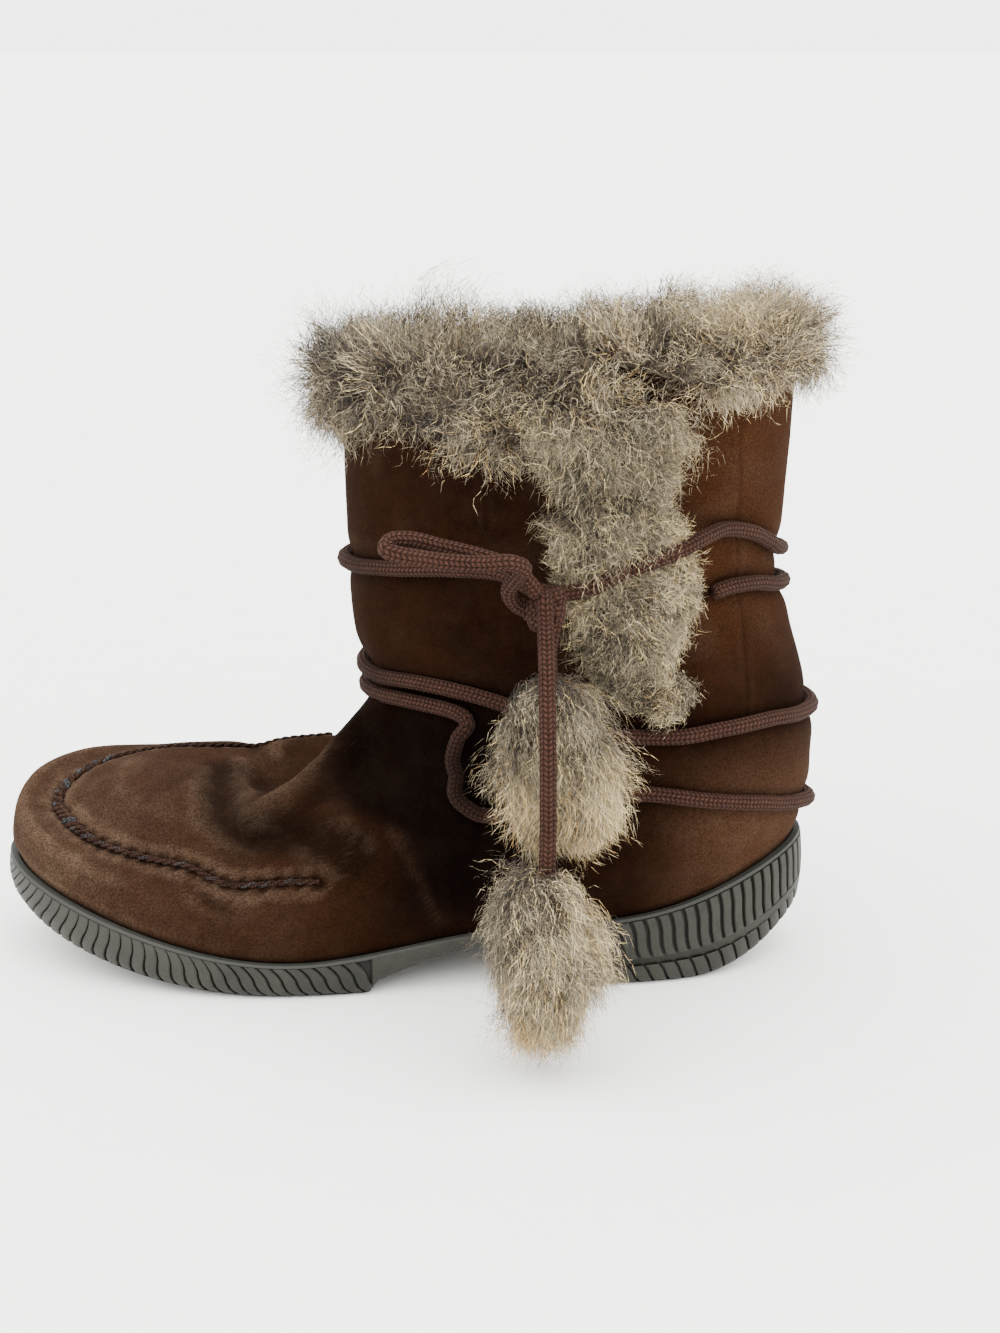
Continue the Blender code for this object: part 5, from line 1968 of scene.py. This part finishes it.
def pelt_tint(points: Array, rng: np.random.Generator, base: float | Array) -> Array:
    """Tints of hairs, in patches, with a spread and some pale guard hairs.

    Args:
        points: the hairs' roots.
        rng: random draws.
        base: the tint they are spread about.

    Returns:
        One tint for each hair.
    """
    patch = 0.32 * (noise(points, 13, 51) - 0.5) + 0.46 * (noise(points, 5.5, 52) - 0.5)
    tint = base + patch + rng.normal(size=len(points)) * 0.1
    pale = rng.random(len(points)) < 0.2
    return np.clip(np.where(pale, tint + 0.3, tint - 0.05), 0.03, 0.82)


def golden(points: Array, tint: Array, spots: list[Spot], rng: np.random.Generator) -> Array:
    """Turns hairs in spots golden.

    Args:
        points: the hairs' roots.
        tint: their tints.
        spots: where golden hairs grow.
        rng: random draws.

    Returns:
        The new tints.
    """
    for spot in spots:
        hit = rng.random(len(points)) < spotted(points, spot)
        tint = np.where(hit, rng.uniform(0.86, 1.0, len(points)), tint)
    return tint


@dataclass
class Furred:
    """A furred part: a woolly body, coloured as painted shade between the hairs, and layers of strands, each
    part dressing its strands in its own way.
    """

    hair: Material
    wool_and_shade: Material

    def look(self, roots: Roots, rng: np.random.Generator) -> Look:
        """How the strands of a layer are dressed; each part has its own way."""
        raise NotImplementedError

    def grow(
        self, name: str, node: str, grid: Array, layers: list[Growth], closed: bool = False, seed: int = 0
    ) -> list[Object]:
        """Grows layers of strands over a body.

        Args:
            name: start of the pieces' names.
            node: the CAD node they replace.
            grid: the body's surface.
            layers: their growths.
            closed: whether the columns join up.
            seed: added to each layer's own.

        Returns:
            A piece for each layer.
        """
        pieces = []
        for growth in layers:
            pile = Pile(growth, seed + growth.seed)
            roots = pile.roots(grid, closed)
            points, faces, fields, uvs = pile.strands(roots, self.look(roots, pile.rng))
            piece = mesh_object(f"{name}_fur_{growth.layer}", points, faces, self.hair, fields, uvs)
            pieces.append(fit(piece, Slot.FUR, node))
        return pieces


Hang = namedtuple("Hang", "side f slant bottom_z depth")
CUFF = [
    Hang(OUTER, 0.765, 0.24, 175.0, 12),
    Hang(OUTER, 0.62, 0.12, 171.5, 14),
    Hang(OUTER, 0.45, 0.05, 171.5, 14),
    Hang(OUTER, 0.34, 0.00, 170.0, 13),
    Hang(OUTER, 0.22, 0.00, 178.0, 13),
    Hang(OUTER, 0.10, 0.00, 181.0, 13),
    Hang(OUTER, 0.01, 0.00, 173.0, 14),
    Hang(INNER, 0.06, 0.00, 176.0, 14),
    Hang(INNER, 0.20, 0.00, 181.0, 13),
    Hang(INNER, 0.55, 0.00, 182.0, 12),
    Hang(INNER, 0.80, 0.00, 188.0, 11),
    Hang(INNER, 0.97, 0.00, 189.0, 12),
    Hang(OUTER, 0.985, 0.00, 190.0, 12),
    Hang(OUTER, 0.95, 0.02, 196.0, 10),
    Hang(OUTER, 0.87, 0.06, 187.0, 11),
    Hang(OUTER, 0.795, 0.24, 192.0, 10),
]
Wisp = namedtuple("Wisp", "x reach longer")
CUFF_WISPS = [
    Wisp(-79.0, 1.3, 1.2),
    Wisp(-68.0, 1.2, 1.0),
    Wisp(-61.0, 1.6, 0.9),
    Wisp(-36.0, 12.0, -0.3),
    Wisp(26.0, 15.0, 0.35),
]
CUFF_GOLD = [Spot((-16, -60, 187), 9, 0.4), Spot((-60, -62, 178), 10, 0.3)]


@dataclass
class Cuff(Furred):
    """The thick fur folded over the rim."""

    last: Last
    slices: int = 150
    fine_rows: int = 40
    inside: float = -3.9
    tuck: float = 4.5
    inner_row: Span = (0.34, 0.2)
    crest_row: Span = (0.16, 0.26)
    crest_end: Span = (0.58, 0.44)
    down_row: Span = (0.42, 0.9)

    def profile(self, rim: Array, low: Array, deep: Array) -> list[tuple]:
        """The cross section, from inside the rim, over it and down the outside.

        Args:
            rim: the rim's height at each slice.
            low: where the body ends.
            deep: its thickness.

        Returns:
            Distances outward, and heights, by step.
        """
        return [
            (self.inside - 0.4, rim - 15),
            (self.inside - 2.5, rim - 12),
            (self.inside - 3.2, rim - 4),
            (self.inside - 2.2, rim + 1.2),
            (self.inside * 0.4, rim + 3.4),
            (deep * 0.25, rim + 3.0),
            (deep * 0.50, rim - 0.5),
            (deep * 0.58, rim - 7),
            (deep * 0.60, low + 0.55 * (rim - 7 - low)),
            (deep * 0.52, low + 5.5),
            (deep * 0.30, low + 3.2),
            (0.9, low + 4.2),
        ]

    def body(self) -> Array:
        """The body's surface.

        Returns:
            Its points, a row for each step of the profile.
        """
        side, f, rest = around(CUFF, self.slices)
        slant, low, deep = rest.T
        low = low + self.tuck
        rim = self.last.side(SECTIONS[-1], f, side)[:, 2]
        coarse = []
        for off, z in self.profile(rim, low, deep):
            forward = slant * np.minimum((z - low) / (rim - low), 1)
            row = self.last.at(side, np.clip(f - forward, 0, 1), np.minimum(z, rim), off)
            row[:, 2] = z
            coarse.append(row)
        fine = smooth(range(len(coarse)), np.array(coarse), np.linspace(0, len(coarse) - 1, self.fine_rows))
        away = grid_normals(fine, closed=False)
        return fine + away * (2.6 * (noise(fine, 9, 41) - 0.5) + 1.2 * (noise(fine, 4, 42) - 0.5))[..., None]

    def look(self, roots: Roots, rng: np.random.Generator) -> Look:
        """Combs the fur up inside and over the rim, then down the outside.

        Args:
            roots: where strands grow.
            rng: the layer's random draws.

        Returns:
            How each strand is dressed.
        """
        point, row = roots.point, roots.row
        x, y = point[:, 0], point[:, 1]
        inner = ease(*self.inner_row, row)
        crest = ease(*self.crest_row, row) * ease(*self.crest_end, row)
        down = ease(*self.down_row, row + 0.3 * (noise(point, 8, 63) - 0.5))
        upright = np.clip(np.maximum(inner, 1 - down), 0, 1)[:, None]
        near = ease(5, -25, y)
        scale = 1 - 0.35 * inner + (0.05 + 0.22 * near) * crest
        for wisp in CUFF_WISPS:
            scale = scale + wisp.longer * (1 - 0.6 * near) * crest * bell(x - wisp.x, wisp.reach)
        scale = scale * (1 - 0.12 * ease(30, 48, y))
        tint = pelt_tint(point, rng, 0.29 + 0.2 * ease(-40, 35, x) + 0.04 * crest)
        tint = golden(point, tint, CUFF_GOLD, rng)
        return Look(roots.along * (1 - upright) + UP * upright, scale, tint, 1 + 0.2 * crest)

    def build(self) -> None:
        """Makes the body and two layers of strands."""
        grid = self.body()
        rows, columns = grid.shape[:2]
        start = np.arange(rows) * columns
        faces = [grid_faces(rows, columns), np.array([start, (start + columns - 1)[::-1]])]
        fit(mesh_object("cuff_wool_and_shade", grid, faces, self.wool_and_shade), Slot.FUR, "fur_cuff")
        self.grow("cuff", "fur_cuff", grid, CUFF_FUR)


Strip = namedtuple("Strip", "z left_x right_x depth")
PLACKET = [
    Strip(97.0, -18, 1, 3),
    Strip(101.0, -22, 4, 5),
    Strip(106.0, -26, 2, 6),
    Strip(113.0, -27, -4, 7),
    Strip(121.0, -25, 2, 10),
    Strip(130.0, -28, 9, 12),
    Strip(139.0, -31, 10, 12),
    Strip(148.0, -33, 6, 12.5),
    Strip(158.0, -32, 2, 12.5),
    Strip(168.0, -31, -3, 12.5),
    Strip(177.0, -33, -4, 17),
    Strip(186.0, -40, -1, 20),
    Strip(194.0, -46, -2, 20),
]


@dataclass
class Placket(Furred):
    """The strip of fur down the front flap's edge."""

    last: Last
    lace: Lace
    rows: int = 76
    columns: int = 28
    margin: float = 3.0
    fullness: float = 0.5
    press: float = 3.2
    press_wide: float = 6.0
    lace_wide: float = 6.5

    def body(self) -> Array:
        """The pad's outer surface.

        Returns:
            Its points, top row first.
        """
        shaft = SECTIONS[-4]
        levels = np.linspace(PLACKET[-1].z, PLACKET[0].z, self.rows)
        table = smooth([row.z for row in PLACKET], np.array([row[1:] for row in PLACKET]), levels)
        left, right, depth = table.T[..., None]
        steps = np.linspace(0, 1, self.columns)
        xs = left + self.margin + (right - left - 2 * self.margin) * steps
        off = 1.0 + self.fullness * depth * np.sqrt(np.clip(1 - (2 * steps - 1) ** 4, 0, 1))
        places = (xs - shaft.front_x) / (shaft.back_x - shaft.front_x)
        flat = np.full(xs.size, OUTER), places.ravel(), np.repeat(levels, self.columns), off.ravel()
        grid = self.last.at(*flat).reshape(self.rows, self.columns, 3)
        grid[..., 1] -= 2.0 * (noise(grid, 8, 43) - 0.5)
        gap, _ = grid_gap(spaced(self.lace.ring_line, 1.0), grid)
        grid[..., 1] += self.press * bell(gap, self.press_wide)
        return grid

    def look(self, roots: Roots, rng: np.random.Generator) -> Look:
        """Combs the fur down and outward, and flattens it under the lace.

        Args:
            roots: where strands grow.
            rng: the layer's random draws.

        Returns:
            How each strand is dressed.
        """
        point = roots.point
        x, z = point[:, 0], point[:, 2]
        out = (0.5 - roots.column) * 2
        comb = roots.along + np.array([1.0, 0, 0]) * (np.sign(out) * np.abs(out) ** 1.2 * 1.3)[:, None]
        ring = spaced(self.lace.ring_line, 1.0)
        gap, near = nearest(ring, point)
        held = np.where(z < ring[near, 2] + 3, 0.6, 0.85)
        scale = np.where(gap < self.lace_wide, held, 1.0) * (1 - 0.45 * ease(118, 104, z))
        scale = scale * (1 - 0.2 * np.abs(out) ** 2)
        base = 0.265 + 0.24 * ease(-14, 4, x) + 0.06 * ease(165, 145, z)
        tint = pelt_tint(point, rng, base - 0.1 * ease(118, 108, z))
        return Look(unit(comb), scale, tint, 1.0)

    def build(self) -> None:
        """Makes the pad and two layers of strands."""
        grid = self.body()
        faces = [grid_faces(*grid.shape[:2])[:, ::-1]]
        fit(mesh_object("placket_wool_and_shade", grid, faces, self.wool_and_shade), Slot.FUR, "fur_placket")
        self.grow("placket", "fur_placket", grid[:, ::-1], PLACKET_FUR)


Ring = namedtuple("Ring", "x y z across deep")
POMPOM_UPPER = [
    Ring(-35, -71, 118.0, 5, 4),
    Ring(-35, -72, 113.5, 14, 11),
    Ring(-35, -73, 104.0, 20, 15),
    Ring(-33, -73, 90.0, 23, 16.5),
    Ring(-31, -73, 76.0, 20, 16.0),
    Ring(-31, -72, 66.0, 13, 12),
    Ring(-31, -71, 61.0, 5, 5),
]
POMPOM_LOWER = [
    Ring(-36, -98, 67.2, 5, 4),
    Ring(-37, -98, 62.5, 14, 12),
    Ring(-37.5, -99, 51.0, 19, 17),
    Ring(-37, -100, 37.0, 20, 18),
    Ring(-36.5, -101, 23.0, 15.5, 15),
    Ring(-38, -103, 12.0, 10, 11),
    Ring(-38.5, -104, 6.5, 4, 5),
]
UPPER_GOLD = [Spot((-26, -84, 74), 12, 0.45), Spot((-47, -80, 84), 10, 0.45)]
LOWER_GOLD = [Spot((-46, -112, 22), 13, 0.8), Spot((-33, -112, 12), 9, 0.5)]
UPPER_SHADES = [
    Spot((-36, -84, 108), 10, -0.1), Spot((-44, -82, 92), 8, -0.08), Spot((-24, -84, 92), 9, 0.12),
]
LOWER_SHADES = [
    Spot((-44, -110, 50), 9, -0.2), Spot((-28, -108, 56), 8, 0.22), Spot((-46, -112, 34), 8, -0.12),
]


@dataclass
class Pompom(Furred):
    """A hanging tassel of long soft fur."""

    name: str
    rings: list[Ring]
    gold: list[Spot]
    shades: list[Spot]
    seed: int
    core: float = 0.5
    core_height: float = 0.78
    core_rise: float = 3.0
    core_rows: int = 34
    core_columns: int = 40

    def body(self) -> Array:
        """The core's surface.

        Returns:
            Its points, top row first.
        """
        table = np.array(self.rings, float)
        middle = table[:, 2].mean()
        table[:, 2] = middle + (table[:, 2] - middle) * self.core_height + self.core_rise
        fine = smooth(range(len(table)), table, np.linspace(0, len(table) - 1, self.core_rows))
        turn = np.linspace(0, 2 * math.pi, self.core_columns, endpoint=False)
        ring = np.stack([np.cos(turn), np.sin(turn), np.zeros(len(turn))], axis=1)
        reach = np.stack([fine[:, 3], fine[:, 4], np.zeros(len(fine))], axis=1) * self.core
        grid = fine[:, None, :3] + ring[None] * reach[:, None]
        return grid + grid_normals(grid[::-1])[::-1] * (2.5 * (noise(grid, 7, self.seed) - 0.5))[..., None]

    def look(self, roots: Roots, rng: np.random.Generator) -> Look:
        """Combs the fur down and out, paler toward the heel.

        Args:
            roots: where strands grow.
            rng: the layer's random draws.

        Returns:
            How each strand is dressed.
        """
        point, row = roots.point, roots.row
        scale = 1.0 - 0.3 * ease(0.25, 0.0, row) - 0.2 * ease(0.6, 1.0, row)
        base = 0.31 + 0.26 * ease(-0.2, 0.9, roots.normal[:, 0]) + 0.08 * ease(0.1, 0.5, row)
        for spot in self.shades:
            base = base + spotted(point, spot)
        tint = golden(point, pelt_tint(point, rng, base), self.gold, rng)
        return Look(unit(0.25 * roots.normal - UP), scale, tint, 1.1 - 0.7 * ease(0.2, 0.9, row))

    def build(self) -> list[Object]:
        """Makes the core and its strands.

        Returns:
            The pompom's pieces.
        """
        grid = self.body()
        rows, columns = grid.shape[:2]
        parts = (grid_faces(rows, columns, True), end_caps(rows, columns, columns))
        faces = [part[:, ::-1] for part in parts]
        core = fit(mesh_object(f"{self.name}_core", grid, faces, self.wool_and_shade), Slot.FUR, self.name)
        return [core, *self.grow(self.name, self.name, grid[:, ::-1], POMPOM_FUR, True, self.seed)]


# ---- the studio
Lobe = namedtuple("Lobe", "toward power")


@dataclass
class Studio:
    """Camera, light and floor."""

    eye: tuple = (-49.86, -671.17, 296.17)
    aim: tuple = (-49.86, 0, 97.36)
    lens: float = 57.0
    sensor: float = 36.0
    nearest: float = 0.01
    sky: Colour = (1.0, 0.995, 0.98)
    side: float = 1.0
    top: float = 4.8
    top_rise: Span = (0.1, 0.9)
    lobes: tuple = (Lobe((-0.66, -0.42, 0.62), 3), Lobe((0.62, -0.45, 0.64), 3))
    lobe_sharpness: float = 8.0
    horizon: float = 4.4
    horizon_rise: Span = (0.02, 0.05)
    floor: float = 60000.0

    def build_camera(self) -> None:
        """Sets the scene's camera."""
        data = bpy.data.cameras.new("camera")
        data.lens = self.lens
        data.sensor_width = self.sensor
        data.clip_start = self.nearest
        camera = bpy.data.objects.new("camera", data)
        bpy.context.scene.collection.objects.link(camera)
        camera.location = Vector(self.eye) * MM
        camera.rotation_euler = (Vector(self.aim) - Vector(self.eye)).to_track_quat("-Z", "Y").to_euler()
        bpy.context.scene.camera = camera

    def build_sky(self) -> None:
        """A soft sky: brightest overhead, with a wide soft light on the left and one on the right."""
        world = bpy.data.worlds.new("studio")
        world.use_nodes = True
        g = Graph(world.node_tree)
        way = g.node("TexCoord").outputs["Generated"]
        up = g.node("SeparateXYZ", {0: way}).outputs[2]
        light = g.span(up, self.top_rise, give=(self.side, self.side + self.top), kind="SMOOTHSTEP")
        for lobe in self.lobes:
            toward = tuple(Vector(lobe.toward).normalized())
            facing = g.node("VectorMath", {0: way, 1: toward}, operation="DOT_PRODUCT").outputs["Value"]
            soft = g.maths("POWER", g.maths("MAXIMUM", facing, 0.0), self.lobe_sharpness)
            light = g.maths("ADD", light, g.maths("MULTIPLY", soft, lobe.power))
        above = g.span(up, self.horizon_rise)
        glow = g.span(above, WHOLE, give=(self.horizon, 0.0))
        light = g.maths("ADD", g.maths("MULTIPLY", light, above), glow)
        sky = g.tree.nodes["Background"].inputs
        sky["Color"].default_value = (*self.sky, 1)
        g.join(light, sky["Strength"])
        bpy.context.scene.world = world

    def build(self, paper: Material) -> None:
        """Makes the floor and the sky.

        Args:
            paper: the floor's finish.
        """
        corners = np.array([(-1, -1, 0), (1, -1, 0), (1, 1, 0), (-1, 1, 0)]) * self.floor
        mesh_object("floor", corners, [np.array([[0, 1, 2, 3]])], paper)
        self.build_sky()


def main() -> None:
    """Builds the whole scene in order."""
    logging.basicConfig(level=logging.INFO, format="%(message)s")
    groups = Groups()
    studio = Studio()
    studio.build_camera()
    last = Last()
    # The lace's second colour is the dark of its spots, painted shade in the first.
    cord = Braid(
        "lace_braid", dark=(0.0040, 0.0015, 0.0011), light=(0.058, 0.0265, 0.0185),
        second=(0.0040, 0.0014, 0.0009), lean=0.55, bump=0.0006,
    ).material(groups)
    # The thread's pale second colour is the painted glint.
    thread = Braid(
        "seam_thread", dark=(0.0020, 0.0010, 0.0012), light=(0.036, 0.0165, 0.0100),
        second=(0.042, 0.042, 0.043), lean=0.6, bump=0.0003,
    ).material(groups)
    hair = Hair("fur_hair").material(groups)
    wool_and_shade = WoolAndShade("fur_wool_and_shade").material(groups)
    suede = Suede("brown_suede").material(groups)
    fleece = Fleece("fleece_pile").material(groups)
    rubber = Rubber("grey_rubber").material(groups)

    lace = Lace(last, cord)
    lace.build_turns()
    knot = lace.build_knot()
    bow, bow_line = lace.free("bow", BOW_LOOP, "bow_loop")
    short, short_line = lace.free("short_end", SHORT_CORD, "short_cord")
    long, long_line = lace.free("long_end", LONG_CORD, "long_cord")
    upper_tuft = Pompom(hair, wool_and_shade, "pompom_upper", POMPOM_UPPER, UPPER_GOLD, UPPER_SHADES, seed=81).build()
    lower_tuft = Pompom(hair, wool_and_shade, "pompom_lower", POMPOM_LOWER, LOWER_GOLD, LOWER_SHADES, seed=82).build()

    studio.build(Paper("floor_paper").material(groups))
    Sole(last, rubber, fleece).build()
    Upper(last, suede, fleece, thread).build()
    Cuff(hair, wool_and_shade, last).build()
    Placket(hair, wool_and_shade, last, lace).build()


if __name__ == "__main__":
    main()
